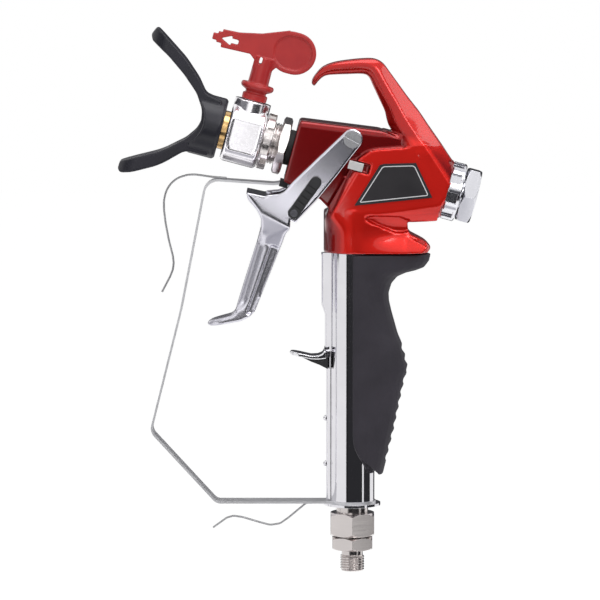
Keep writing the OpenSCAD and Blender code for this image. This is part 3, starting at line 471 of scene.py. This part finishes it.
# %% Make the skins
# voxel in mm, and rounds of smoothing
SKINS = {
    "tip_holder": (0.4, 5),
    "tip_guard": (0.5, 6),
    "tip_flag": (0.35, 4),
    "grip": (0.6, 4),
    "finger_rest": (0.3, 4),
    "guard_wire_upper": (0.2, 2),
    "guard_wire_lower": (0.2, 2),
}
skins = {node: soft_skin(node, merged_copy(node), *how) for node, how in SKINS.items()}
skins["trigger"] = soft_skin("trigger", merged_copy("trigger"), 0.45, 5,
                             sculpt_blade, soften_blade, more_rounds=40)
skins["body_casting"] = soft_skin("body_casting", casting_source(), 0.5, 8,
                                  sculpt_casting, soften_casting, more_rounds=80)

# %% [markdown]
# ## Threads
# The hose inlet and the front of the valve carry a cut thread, where the solids have a plain
# cylinder. A thread is one ridge that winds round. Its section, one pitch high with a narrow
# flat crest, is spun round the axis while it climbs, so each turn ends where the next begins.
# The doubled edges are then merged. Both ends are cut off flat, and run down to the root.

# %% Wind a ridge
# the section's corners: how far under the crest, as a share of the depth, and how far back,
# as a share of the pitch
RIDGE = [(1, 1), (0.1, 0.66), (0, 0.62), (0, 0.38), (0.1, 0.34), (1, 0)]
TURN_STEPS = 40
# in mm: how close doubles and slivers are, and how far the ridge ends under the root
DOUBLE, SLIVER = 0.01, 0.005
UNDER_ROOT = 0.05
# the length of the run down at each end, as a share of the pitch
RUN_OUT = 0.5


def wound_ridge(radius, depth, pitch, length):
    """A ridge that winds about Z from 0 to length, and sinks into its core at both ends."""
    bm = bmesh.new()
    rim = [bm.verts.new(((radius - under * depth) * MM, 0, -back * pitch * MM))
           for under, back in RIDGE]
    turns = length / pitch + 1
    bmesh.ops.spin(bm, geom=rim + [bm.edges.new(pair) for pair in zip(rim, rim[1:])],
                   cent=(0, 0, 0), axis=(0, 0, 1), dvec=(0, 0, pitch * MM / TURN_STEPS),
                   angle=math.tau * turns, steps=round(TURN_STEPS * turns))
    bmesh.ops.remove_doubles(bm, verts=bm.verts, dist=DOUBLE * MM)
    core = (radius - depth - UNDER_ROOT) * MM
    for vert in bm.verts:
        vert.co.z = min(max(vert.co.z, 0), length * MM)
        inside = min(vert.co.z, length * MM - vert.co.z) / (RUN_OUT * pitch * MM)
        reach = vert.co.xy.length
        vert.co.xy *= (core + (reach - core) * clamped(inside)) / reach
    bmesh.ops.dissolve_degenerate(bm, edges=bm.edges, dist=SLIVER * MM)
    bmesh.ops.recalc_face_normals(bm, faces=bm.faces)
    return written(bm, "ridge")


# %% [markdown]
# The valve lies on an axis that is tilted nose up. So its front fitting is stood upright by a
# matrix, threaded as the inlet is, and laid back over.

# %% Cut the threads
TILT = math.radians(15)
UPRIGHT = Matrix.Identity(4)
FORWARD = (Matrix.Translation((0, 0, HEAD_Z)) @ Matrix.Rotation(TILT, 4, "Y")
           @ Matrix.Rotation(math.radians(-90), 4, "Y"))
MARGIN = 0.1
HARD_EDGE = math.radians(28)


def threaded_copy(node, stand, low, high, radius, depth, pitch):
    """A solid's copy, its plain cylinder thinned to the thread's root, with the ridge added."""
    bm = merged_copy(node)
    bmesh.ops.transform(bm, matrix=stand.inverted(), verts=bm.verts)
    root = (radius - depth) * MM
    for vert in bm.verts:
        reach = vert.co.xy.length
        if (lies_in(vert.co.z, (low - MARGIN, high + MARGIN))
                and reach < (radius + MARGIN) * MM):
            vert.co.xy *= min(1, root / reach)
    ridge = wound_ridge(radius, depth, pitch, high - low)
    ridge.transform(Matrix.Translation((0, 0, low * MM)))
    bm.from_mesh(ridge)
    bmesh.ops.transform(bm, matrix=stand, verts=bm.verts)
    name = node + "_threaded"
    piece = stand_in(node, name, smooth_mesh(bm, name, HARD_EDGE))
    print(node, "threaded:", len(piece.data.polygons), "faces")
    return piece


inlet = threaded_copy("swivel_nipple", UPRIGHT, low=0, high=9,
                      radius=6.6, depth=0.75, pitch=1.41)
head = threaded_copy("gun_head", FORWARD, low=42.5, high=51.1,
                     radius=11.5, depth=0.9, pitch=1.5)

# %% [markdown]
# ## The spine of the handle
# The strip along the front of the handle is bent from sheet: it narrows towards its front,
# and its long edges are round. The rounding is wide, so it is a real bevel and not only
# shading. Only the upright edges at its front are picked for it.

# %% Spine
# the strip starts to narrow this far in front of the tube's axis, over such a length
NARROWS_FROM, NARROWS_OVER, NARROWS_BY = 11, 6, 0.5
FRONT_X = -13
SPINE_ROUND = 1.7


def is_upright(edge):
    """Whether an edge is a long one that rises nearly straight."""
    rise = abs(edge.verts[0].co.z - edge.verts[1].co.z)
    return edge.calc_length() > 4 * MM and rise > 0.8 * edge.calc_length()


def rounded_spine():
    """The spine, narrowed, with its upright front edges bevelled."""
    bm = merged_copy("tube_spine")
    bmesh.ops.dissolve_limit(bm, angle_limit=math.radians(2), verts=bm.verts, edges=bm.edges)
    for vert in bm.verts:
        forward = clamped((-vert.co.x / MM - NARROWS_FROM) / NARROWS_OVER)
        vert.co.y *= 1 - NARROWS_BY * forward
    upright = [edge for edge in bm.edges
               if max(v.co.x for v in edge.verts) < FRONT_X * MM and is_upright(edge)]
    bmesh.ops.bevel(bm, geom=upright, offset=SPINE_ROUND * MM, segments=5, profile=0.5,
                    affect="EDGES", material=-1)
    print("spine: bevelled", len(upright), "edges")
    return stand_in("tube_spine", "spine_rounded",
                    smooth_mesh(bm, "spine_rounded", math.radians(40)))


spine = rounded_spine()

# %% [markdown]
# ## The border of the side plates
# Each plate is bare, with one pale line that runs just inside its edge. A painted line would
# need a map of the plate, so the line is a strip a few hundredths of a millimetre thick: the
# plate's outline with its corners rounded, inset twice, and only the ring between kept.

# %% Plate borders
PLATE = [(0.8, 203.6), (15.4, 226.4), (34.3, 226.9), (43.2, 208)]
LINE_INSET = 1.25
LINE_WIDTH = 0.5
LINE_CORNER = 1.4
LINE_SUNK = 0.02
LINE_THICK = 0.07


def inset_ring(bm, faces, width):
    """Insets faces by a width, and gives back the ring of new faces round them."""
    return bmesh.ops.inset_region(bm, faces=faces, thickness=width * MM,
                                  use_boundary=True, use_even_offset=True)["faces"]


def plate_border(name, side):
    y = side * (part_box("side_plates")[1].y - LINE_SUNK * MM)
    bm = bmesh.new()
    plate = bm.faces.new([bm.verts.new((x * MM, y, z * MM)) for x, z in PLATE])
    bm.normal_update()
    rim = inset_ring(bm, [plate], LINE_INSET)
    bmesh.ops.delete(bm, geom=rim, context="FACES")
    bmesh.ops.bevel(bm, geom=plate.verts[:], offset=LINE_CORNER * MM, segments=4, profile=0.5,
                    affect="VERTICES", material=-1)
    bm.normal_update()
    ring = inset_ring(bm, bm.faces[:], LINE_WIDTH)
    bmesh.ops.delete(bm, geom=[f for f in bm.faces if f not in ring], context="FACES")
    raised = bmesh.ops.extrude_face_region(bm, geom=bm.faces[:])["geom"]
    bmesh.ops.translate(bm, verts=moved_verts(raised), vec=(0, side * LINE_THICK * MM, 0))
    bmesh.ops.recalc_face_normals(bm, faces=bm.faces)
    print(name, "open edges:", sum(not edge.is_manifold for edge in bm.edges))
    return add_object(name, smooth_mesh(bm, name, math.radians(20)), "root")


borders = [plate_border("plate_border_near", -1), plate_border("plate_border_far", 1)]
print("plate borders:", [len(b.data.polygons) for b in borders], "faces")

# %% [markdown]
# ## Materials
# Every finish starts from one recipe. A Bevel node rounds the edges in the shading, because
# even a machined edge is broken by a fraction of a millimetre. Noise at two scales moves the
# roughness and lifts the surface a little: the fine one is the grain of the casting, plating
# or plastic, and the broad one is handling and polish. A number that is the same all over is
# set on the shader itself. The patterns follow Object coordinates, so they keep to the metal
# when a piece moves.

# %% Material recipe
BEVEL_SAMPLES = 4


def set_sockets(node, values):
    for name, value in values.items():
        node.inputs[name].default_value = value


def new_material(name, edge, values):
    """A material with edges rounded by so many mm, with its nodes at hand for the rest."""
    mat = bpy.data.materials.new(name)
    mat.use_nodes = True
    tree = mat.node_tree
    shader = tree.nodes["Principled BSDF"]
    set_sockets(shader, values)
    bevel = tree.nodes.new("ShaderNodeBevel")
    bevel.samples = BEVEL_SAMPLES
    bevel.inputs["Radius"].default_value = edge * MM
    tree.links.new(bevel.outputs["Normal"], shader.inputs["Normal"])
    place = tree.nodes.new("ShaderNodeTexCoord").outputs["Object"]
    return mat, tree, shader, bevel, place


def add_noise(tree, vector, scale, detail=3.0):
    noise = tree.nodes.new("ShaderNodeTexNoise")
    set_sockets(noise, {"Scale": scale, "Detail": detail})
    tree.links.new(vector, noise.inputs["Vector"])
    return noise.outputs["Fac"]


def map_range(tree, value, start, end, low, high, smooth=False):
    """Runs from low to high as a value goes from start to end, and stays there beyond."""
    node = tree.nodes.new("ShaderNodeMapRange")
    node.interpolation_type = "SMOOTHSTEP" if smooth else "LINEAR"
    set_sockets(node, {"From Min": start, "From Max": end, "To Min": low, "To Max": high})
    tree.links.new(value, node.inputs["Value"])
    return node.outputs["Result"]


def vary_roughness(tree, shader, value, low, high, start=0.3, end=0.7):
    tree.links.new(map_range(tree, value, start, end, low, high), shader.inputs["Roughness"])


def vary_colour(tree, shader, value, first, second, start=0.35, end=0.65):
    ramp_node = tree.nodes.new("ShaderNodeValToRGB")
    for element, position, colour in zip(ramp_node.color_ramp.elements, (start, end),
                                         (first, second)):
        element.position = position
        element.color = (*colour, 1)
    tree.links.new(value, ramp_node.inputs["Fac"])
    tree.links.new(ramp_node.outputs["Color"], shader.inputs["Base Color"])


def add_bump(tree, shader, bevel, height, depth):
    bump = tree.nodes.new("ShaderNodeBump")
    bump.inputs["Distance"].default_value = depth * MM
    tree.links.new(height, bump.inputs["Height"])
    tree.links.new(bevel.outputs["Normal"], bump.inputs["Normal"])
    tree.links.new(bump.outputs["Normal"], shader.inputs["Normal"])


# %% [markdown]
# Two finishes change from one part of a piece to another. The place of a point along a
# direction is the dot product of the two, and a Map Range node turns it into a share.

# %% Finishes that follow the place
def along(tree, place, direction):
    """How far a point lies along a direction."""
    dot = tree.nodes.new("ShaderNodeVectorMath")
    dot.operation = "DOT_PRODUCT"
    dot.inputs[1].default_value = direction
    tree.links.new(place, dot.inputs[0])
    return dot.outputs["Value"]


def calculate(tree, operation, *values):
    node = tree.nodes.new("ShaderNodeMath")
    node.operation = operation
    for value, socket in zip(values, node.inputs):
        tree.links.new(value, socket)
    return node.outputs["Value"]


# %% [markdown]
# ## Paint
# The casting has a candy finish: fine flakes under a tinted lacquer. So it is partly
# metallic, which makes it go from deep to bright red as it turns to the light, with a clear
# coat for the pale highlights on the ridges. Light and shade are also painted into its
# colour: the high faces of the sides, the hook and the lower block get a painted lit red, and
# the parts that stand back get a painted shade of deeper red, which is also more metallic.

# %% Candy paint
# the paint's red under painted shade, and where it is painted lit
SHADED_RED = (0.17, 0.002, 0.003)
LIT_RED = (0.66, 0.014, 0.008)
FLAKE_SCALE = 7000
CLOUD_SCALE = 45
# how metallic the paint is where it gets painted shade, and where it is painted lit
FLAKES_SHADED, FLAKES_LIT = 0.95, 0.5


def painted_light_share(tree, place):
    """1 where the paint gets a painted lit red, and 0 where it gets painted shade.

    Each share rises between two places in mm along a direction."""
    def rising(value, start, end, most):
        return map_range(tree, value, start * MM, end * MM, 0, most, smooth=True)

    from_middle = calculate(tree, "ABSOLUTE", along(tree, place, (0, 1, 0)))
    sides = rising(from_middle, 13.2, 15.4, 1)
    hook = rising(along(tree, place, (0.6, 0, 1)), 252, 262, 0.5)
    behind = rising(along(tree, place, (1, 0, 0)), -15, 2, 1)
    below = rising(along(tree, place, (0, 0, -1)), -204, -196, 0.9)
    lower_block = calculate(tree, "MULTIPLY", behind, below)
    upper = calculate(tree, "MAXIMUM", sides, hook)
    return calculate(tree, "MAXIMUM", upper, lower_block)


def candy_paint():
    mat, tree, shader, bevel, place = new_material("candy_red", 0.4, {
        "Specular IOR Level": 0.1, "Coat Weight": 0.7, "Coat Roughness": 0.06})
    flakes = add_noise(tree, place, FLAKE_SCALE, 1.0)
    clouds = add_noise(tree, place, CLOUD_SCALE)
    vary_roughness(tree, shader, clouds, 0.28, 0.36)
    add_bump(tree, shader, bevel, flakes, 0.003)
    # painted light and shade: colour and metal follow a mask by place, not the lamps
    lit_share = painted_light_share(tree, place)
    vary_colour(tree, shader, lit_share, SHADED_RED, LIT_RED, 0, 1)
    tree.links.new(map_range(tree, lit_share, 0, 1, FLAKES_SHADED, FLAKES_LIT),
                   shader.inputs["Metallic"])
    return mat


candy_red = candy_paint()
print("paint:", len(candy_red.node_tree.nodes), "nodes")

# %% [markdown]
# ## Plastic and rubber
# The plastics have no metal in them, a fine mould grain, and a dull shine that handling has
# made uneven. One function makes them all, so that they look like a family. The grip is the
# softest: a coarser, deeper grain and hardly any shine.

# %% Plastic and rubber
HANDLING_SCALE = 60


def plastic(name, dark, light, roughness, grain=1500, depth=0.012, edge=0.35, shine=0.4):
    mat, tree, shader, bevel, place = new_material(name, edge, {"Specular IOR Level": shine})
    fine = add_noise(tree, place, grain)
    broad = add_noise(tree, place, HANDLING_SCALE)
    vary_colour(tree, shader, broad, dark, light)
    vary_roughness(tree, shader, broad, roughness - 0.05, roughness + 0.06)
    add_bump(tree, shader, bevel, fine, depth)
    return mat


grip_rubber = plastic("grip_soft", (0.026, 0.023, 0.031), (0.034, 0.030, 0.040), 0.6,
                      grain=2200, depth=0.02, shine=0.3)
guard_plastic = plastic("guard_plastic", (0.010, 0.010, 0.016), (0.016, 0.015, 0.024), 0.36)
lock_plastic = plastic("lock_plastic", (0.016, 0.016, 0.018), (0.024, 0.024, 0.026), 0.46)
plate_finish = plastic("plate_finish", (0.018, 0.016, 0.019), (0.022, 0.020, 0.023), 0.36,
                       grain=3000, depth=0.003, edge=0.1)
border_paint = plastic("border_paint", (0.60, 0.60, 0.62), (0.66, 0.66, 0.68), 0.4,
                       depth=0.002, edge=0.03)
seal_rubber = plastic("seal_rubber", (0.010, 0.010, 0.010), (0.016, 0.016, 0.016), 0.55)
white_seal = plastic("white_seal", (0.76, 0.76, 0.72), (0.82, 0.82, 0.78), 0.5)
mesh_plastic = plastic("mesh_plastic", (0.68, 0.58, 0.10), (0.75, 0.66, 0.14), 0.5)
flag_plastic = plastic("flag_plastic", (0.38, 0.022, 0.024), (0.46, 0.030, 0.028), 0.32,
                       grain=900, depth=0.006)
print("materials so far:", len(bpy.data.materials))

# %% [markdown]
# ## Metals
# Turned pieces carry faint rings about their axis, left by the tool, and drawn or polished
# ones carry fine streaks along their length. Both come from noise that is squeezed across the
# marks and stretched along them. Turned pieces on the valve's axis need the pattern tilted
# with them. The marks are at most a few thousandths of a millimetre deep, because polished
# metal shows the slightest dent, and the plain strap has none. The trigger's roughness
# follows its length instead: the blade is dull from handling, and the upper part polished.

# %% Metals
RINGS_UP = (40, 40, 1)
RINGS_FORWARD = (1, 40, 40)
ALONG_TUBE = (1, 1, 30)
ALONG_BLADE = (1, 1, 6)
BLADE_LEAN = math.radians(-40)
# worn patches: their scale, and their brightness as a share of the rest
WEAR_SCALE = 70
WORN = 0.94


def stretched(tree, place, scale, turn=0.0):
    """Coordinates turned about Y and stretched, for marks that run one way."""
    mapping = tree.nodes.new("ShaderNodeMapping")
    mapping.vector_type = "TEXTURE"
    set_sockets(mapping, {"Rotation": (0, turn, 0), "Scale": scale})
    tree.links.new(place, mapping.inputs["Vector"])
    return mapping.outputs["Vector"]


def metal(name, colour, low, high, marks=(1, 1, 1), turn=0.0, scale=1500, depth=0.0015,
          edge=0.25, polish=None):
    """Roughness goes from low to high with the marks, or along polish: a direction and the
    two places on it, in mm, between which it changes."""
    mat, tree, shader, bevel, place = new_material(name, edge, {"Metallic": 1})
    lines = add_noise(tree, stretched(tree, place, marks, turn), scale)
    patches = add_noise(tree, place, WEAR_SCALE, 4.0)
    vary_colour(tree, shader, patches, tuple(WORN * c for c in colour), colour)
    if polish:
        direction, start, end = polish
        vary_roughness(tree, shader, along(tree, place, direction), low, high,
                       start * MM, end * MM)
    else:
        vary_roughness(tree, shader, lines, low, high)
    if depth:
        add_bump(tree, shader, bevel, lines, depth)
    return mat


chrome = metal("chrome_plate", (0.76, 0.75, 0.78), 0.035, 0.07, ALONG_TUBE, depth=0.0003)
nickel = metal("nickel_plate", (0.60, 0.56, 0.55), 0.13, 0.20, RINGS_UP, depth=0.0008)
turned_steel = metal("turned_steel", (0.66, 0.62, 0.61), 0.16, 0.26, RINGS_FORWARD, TILT)
holder_alloy = metal("satin_alloy", (0.90, 0.88, 0.91), 0.16, 0.22, depth=0.0002)
cap_alloy = metal("cap_plate", (0.70, 0.70, 0.74), 0.10, 0.16, RINGS_FORWARD, TILT,
                  depth=0.0005)
trigger_alloy = metal("polished_casting", (0.64, 0.63, 0.69), 0.27, 0.12, ALONG_BLADE,
                      BLADE_LEAN, 900, 0.0004, 0.05, polish=((0.79, 0, 1), 160, 166))
rest_alloy = metal("rest_alloy", (0.78, 0.78, 0.80), 0.06, 0.12, depth=0.0005)
yoke_alloy = metal("yoke_alloy", (0.90, 0.89, 0.88), 0.30, 0.40)
brass = metal("brass_turned", (0.68, 0.44, 0.19), 0.16, 0.26, RINGS_FORWARD, TILT)
strap_steel = metal("strap_steel", (0.72, 0.72, 0.74), 0.42, 0.5, scale=300, depth=0,
                    edge=0.02)
wire_steel = metal("wire_steel", (0.42, 0.42, 0.43), 0.35, 0.45, depth=0.0005)
screw_steel = metal("screw_steel", (0.52, 0.52, 0.54), 0.26, 0.34, depth=0.0004)
black_steel = metal("black_steel", (0.15, 0.15, 0.17), 0.26, 0.34, depth=0.0004)
dark_steel = metal("dark_steel", (0.40, 0.39, 0.41), 0.22, 0.36)
carbide = metal("carbide", (0.24, 0.24, 0.27), 0.3, 0.45)
print("materials in all:", len(bpy.data.materials))

# %% [markdown]
# ## Dressing the pieces
# Each solid gets its finish here, and so does what stands in for it. It could be done where
# each piece is made, but in one table it is easy to see that no piece is left in the plain
# colour it came with.

# %% Dress
FINISHES = [
    (candy_red, ["body_casting"]),
    (grip_rubber, ["grip"]),
    (guard_plastic, ["tip_guard"]),
    (lock_plastic, ["lock_lever", "finger_rest_pad", "guard_clamp"]),
    (flag_plastic, ["tip_flag"]),
    (plate_finish, ["side_plates"]),
    (seal_rubber, ["head_gasket", "swivel_seal", "tip_seal"]),
    (white_seal, ["packing_seals"]),
    (mesh_plastic, ["handle_filter"]),
    (chrome, ["handle_tube", "tube_spine", "spine_rivets", "bottom_flange"]),
    (nickel, ["swivel_nipple", "swivel_body", "handle_fitting"]),
    (turned_steel, ["gun_head", "tip_saddle", "needle", "captive_nut"]),
    (holder_alloy, ["tip_holder"]),
    (cap_alloy, ["rear_sleeve", "rear_cap"]),
    (yoke_alloy, ["needle_yoke"]),
    (trigger_alloy, ["trigger"]),
    (rest_alloy, ["finger_rest"]),
    (brass, ["brass_ring", "packing_nut"]),
    (strap_steel, ["guard_strap"]),
    (wire_steel, ["guard_wire_upper", "guard_wire_lower", "filter_spring", "return_spring",
                  "lock_clip"]),
    (screw_steel, ["pivot_screws"]),
    (black_steel, ["lock_shaft"]),
    (dark_steel, ["tip_barrel"]),
    (carbide, ["tip_insert", "valve_seat"]),
]
STAND_INS = dict(skins, swivel_nipple=inlet, gun_head=head, tube_spine=spine)


def dress(thing, finish):
    thing.data.materials.clear()
    thing.data.materials.append(finish)


for finish, names in FINISHES:
    for name in names:
        dress(frame["nodes"][name], finish)
        if name in STAND_INS:
            dress(STAND_INS[name], finish)
for border in borders:
    dress(border, border_paint)
left = set(frame["nodes"]) - {name for finish, names in FINISHES for name in names}
print("dressed", len(frame["nodes"]) - len(left), "solids; left out:", sorted(left))

# %% [markdown]
# ## The floor
# The gun hangs by its hook in a white room, well above a plain pale floor. To show white, the
# floor could be lit more, but that light would come back up at the gun. So it glows a little
# instead, only for the camera, for mirrors and for glass: for them it looks white, while for
# everything else it is an ordinary floor that takes the gun's shadow.

# %% Floor
FLOOR_Z = -0.28
FLOOR_HALF = 6
FLOOR_GREY = 0.8
FLOOR_GLOW = 0.6


def stage_mesh(name, bm, finish):
    thing = place_in_scene(bpy.data.objects.new(name, written(bm, name)))
    dress(thing, finish)
    return thing


def matt_material(name, values):
    mat = bpy.data.materials.new(name)
    mat.use_nodes = True
    shader = mat.node_tree.nodes["Principled BSDF"]
    set_sockets(shader, {"Specular IOR Level": 0, **values})
    return mat


def seen_directly(tree):
    """1 for the rays that the camera, a mirror or glass sends out, and 0 for lit surfaces."""
    rays = tree.nodes.new("ShaderNodeLightPath").outputs
    mirrored = calculate(tree, "MAXIMUM", rays["Is Camera Ray"], rays["Is Glossy Ray"])
    return calculate(tree, "MAXIMUM", mirrored, rays["Is Transmission Ray"])


def pale_floor():
    mat = matt_material("pale_floor", {"Base Color": (FLOOR_GREY, FLOOR_GREY, FLOOR_GREY, 1),
                                       "Roughness": 0.9})
    tree = mat.node_tree
    glow = tree.nodes.new("ShaderNodeEmission")
    both = tree.nodes.new("ShaderNodeAddShader")
    tree.links.new(map_range(tree, seen_directly(tree), 0, 1, 0, FLOOR_GLOW),
                   glow.inputs["Strength"])
    tree.links.new(tree.nodes["Principled BSDF"].outputs["BSDF"], both.inputs[0])
    tree.links.new(glow.outputs["Emission"], both.inputs[1])
    tree.links.new(both.outputs["Shader"], tree.nodes["Material Output"].inputs["Surface"])
    return mat


bm = bmesh.new()
bmesh.ops.create_grid(bm, x_segments=1, y_segments=1, size=FLOOR_HALF)
bmesh.ops.translate(bm, verts=bm.verts, vec=(0, 0, FLOOR_Z))
stage_mesh("floor", bm, pale_floor())
print("floor at", FLOOR_Z)

# %% [markdown]
# ## Cards for the reflections
# Polished metal shows what stands round it, and in an all white room it would have no form.
# So a studio puts up grey and black cards for it to mirror, and so does this cell. Upright
# tubes mirror the cards as stripes, and flat faces mirror one spot, so the cards are placed by
# what should see them. The low dark ones in front and to the right are for the handle and the
# lower edges, the higher grey ones for the trigger, the hook and the paint, and the ones
# behind for faces that turn away. Two round ones grey the faces that look up or down. Cards
# show in reflections only, so they neither light the gun nor shade it.

# %% Cards
CARD_RADIUS = 0.9
BLUISH = 1.1
LOW = 0.115
# angles from the camera's side in degrees, height of the foot and the top, brightness
CARDS = {
    "card_edge": (-33, -26, FLOOR_Z, LOW, 0.012),
    "card_front": (-26, 52, FLOOR_Z, LOW, 0.03),
    "card_middle": (-2.6, 52, LOW, 0.34, 0.08),
    "card_corner": (-4.2, -2.6, LOW, 0.133, 0.04),
    "card_right": (61, 104, FLOOR_Z, 0.30, 0.03),
    "card_high": (47, 104, 0.30, 0.75, 0.22),
    "card_left": (-80, -33, 0.20, 0.55, 0.16),
    "card_neck": (-165, -75, 0.088, 0.19, 0.04),
    "card_back": (140, 195, FLOOR_Z, 0.9, 0.06),
}
# centre, radius, brightness
ROUND_CARDS = {
    "card_above": ((0, 0, 1.3), 0.45, 0.5),
    "card_below": ((-0.2, -0.24, FLOOR_Z + 0.01), 0.17, 0.45),
}


def stand_card(name, bm, shade):
    thing = stage_mesh(name, bm, matt_material(name, {
        "Base Color": (0, 0, 0, 1), "Emission Color": (shade, shade, shade * BLUISH, 1),
        "Emission Strength": 1}))
    thing.visible_camera = False
    thing.visible_diffuse = False
    thing.visible_shadow = False
    thing.visible_transmission = False


def curved_card(name, start, end, foot, top, shade):
    """A card on a circle round the gun, made by spinning one upright edge."""
    first = math.radians(start)
    place = (CARD_RADIUS * math.sin(first), -CARD_RADIUS * math.cos(first))
    bm = bmesh.new()
    side = [bm.verts.new((*place, foot)), bm.verts.new((*place, top))]
    bmesh.ops.spin(bm, geom=side + [bm.edges.new(side)], cent=(0, 0, 0), axis=(0, 0, 1),
                   angle=math.radians(end - start), steps=12)
    stand_card(name, bm, shade)


def round_card(name, centre, radius, shade):
    bm = bmesh.new()
    bmesh.ops.create_circle(bm, cap_ends=True, segments=48, radius=radius)
    bmesh.ops.translate(bm, verts=bm.verts, vec=centre)
    stand_card(name, bm, shade)


for name, how in CARDS.items():
    curved_card(name, *how)
for name, how in ROUND_CARDS.items():
    round_card(name, *how)
print("cards:", len(CARDS), "curved and", len(ROUND_CARDS), "round")

# %% [markdown]
# ## Room and lamps
# The room is white wherever it is seen or mirrored, but it lights surfaces at half of that,
# which leaves something for the lamps to do. Four soft lamps shape the paint from above, the
# right, the front and the left. Two small ones are there for single faces: one brightens the
# tip's holder, and the strip puts the bright band on the trigger's arm.

# %% World and lamps
ROOM_LIGHT = 0.5
ROOM_SEEN = 1.0
# place, width and height, power
LAMPS = {
    "lamp_above": ((0.1, -0.25, 1.1), (0.7, 0.5), 4),
    "lamp_right": ((0.95, -0.42, 0.7), (0.5, 0.6), 3.0),
    "lamp_front": ((0.35, -0.9, 0.7), (0.4, 0.35), 2.2),
    "lamp_left": ((-1.0, -0.5, 0.5), (0.4, 0.8), 1.2),
    "lamp_face": ((-0.2, -0.84, 0.225), (0.29, 0.16), 0.13),
    "lamp_strip": ((-0.024, -0.86, 0.134), (0.05, 0.014), 0.010),
}

world = bpy.data.worlds.new("studio")
bpy.context.scene.world = world
world.use_nodes = True
tree = world.node_tree
background = tree.nodes["Background"]
background.inputs["Color"].default_value = (1, 1, 1, 1)
tree.links.new(map_range(tree, seen_directly(tree), 0, 1, ROOM_LIGHT, ROOM_SEEN),
               background.inputs["Strength"])


def add_lamp(name, place, size, power):
    data = bpy.data.lights.new(name, "AREA")
    data.shape = "RECTANGLE"
    data.size, data.size_y = size
    data.energy = power
    lamp = place_in_scene(bpy.data.objects.new(name, data))
    lamp.location = place
    lamp.rotation_euler = facing_away(Vector(place) - TARGET)
    lamp.visible_camera = False


for name, how in LAMPS.items():
    add_lamp(name, *how)
bpy.context.scene.view_settings.view_transform = "Standard"
print("lamps:", len(LAMPS))
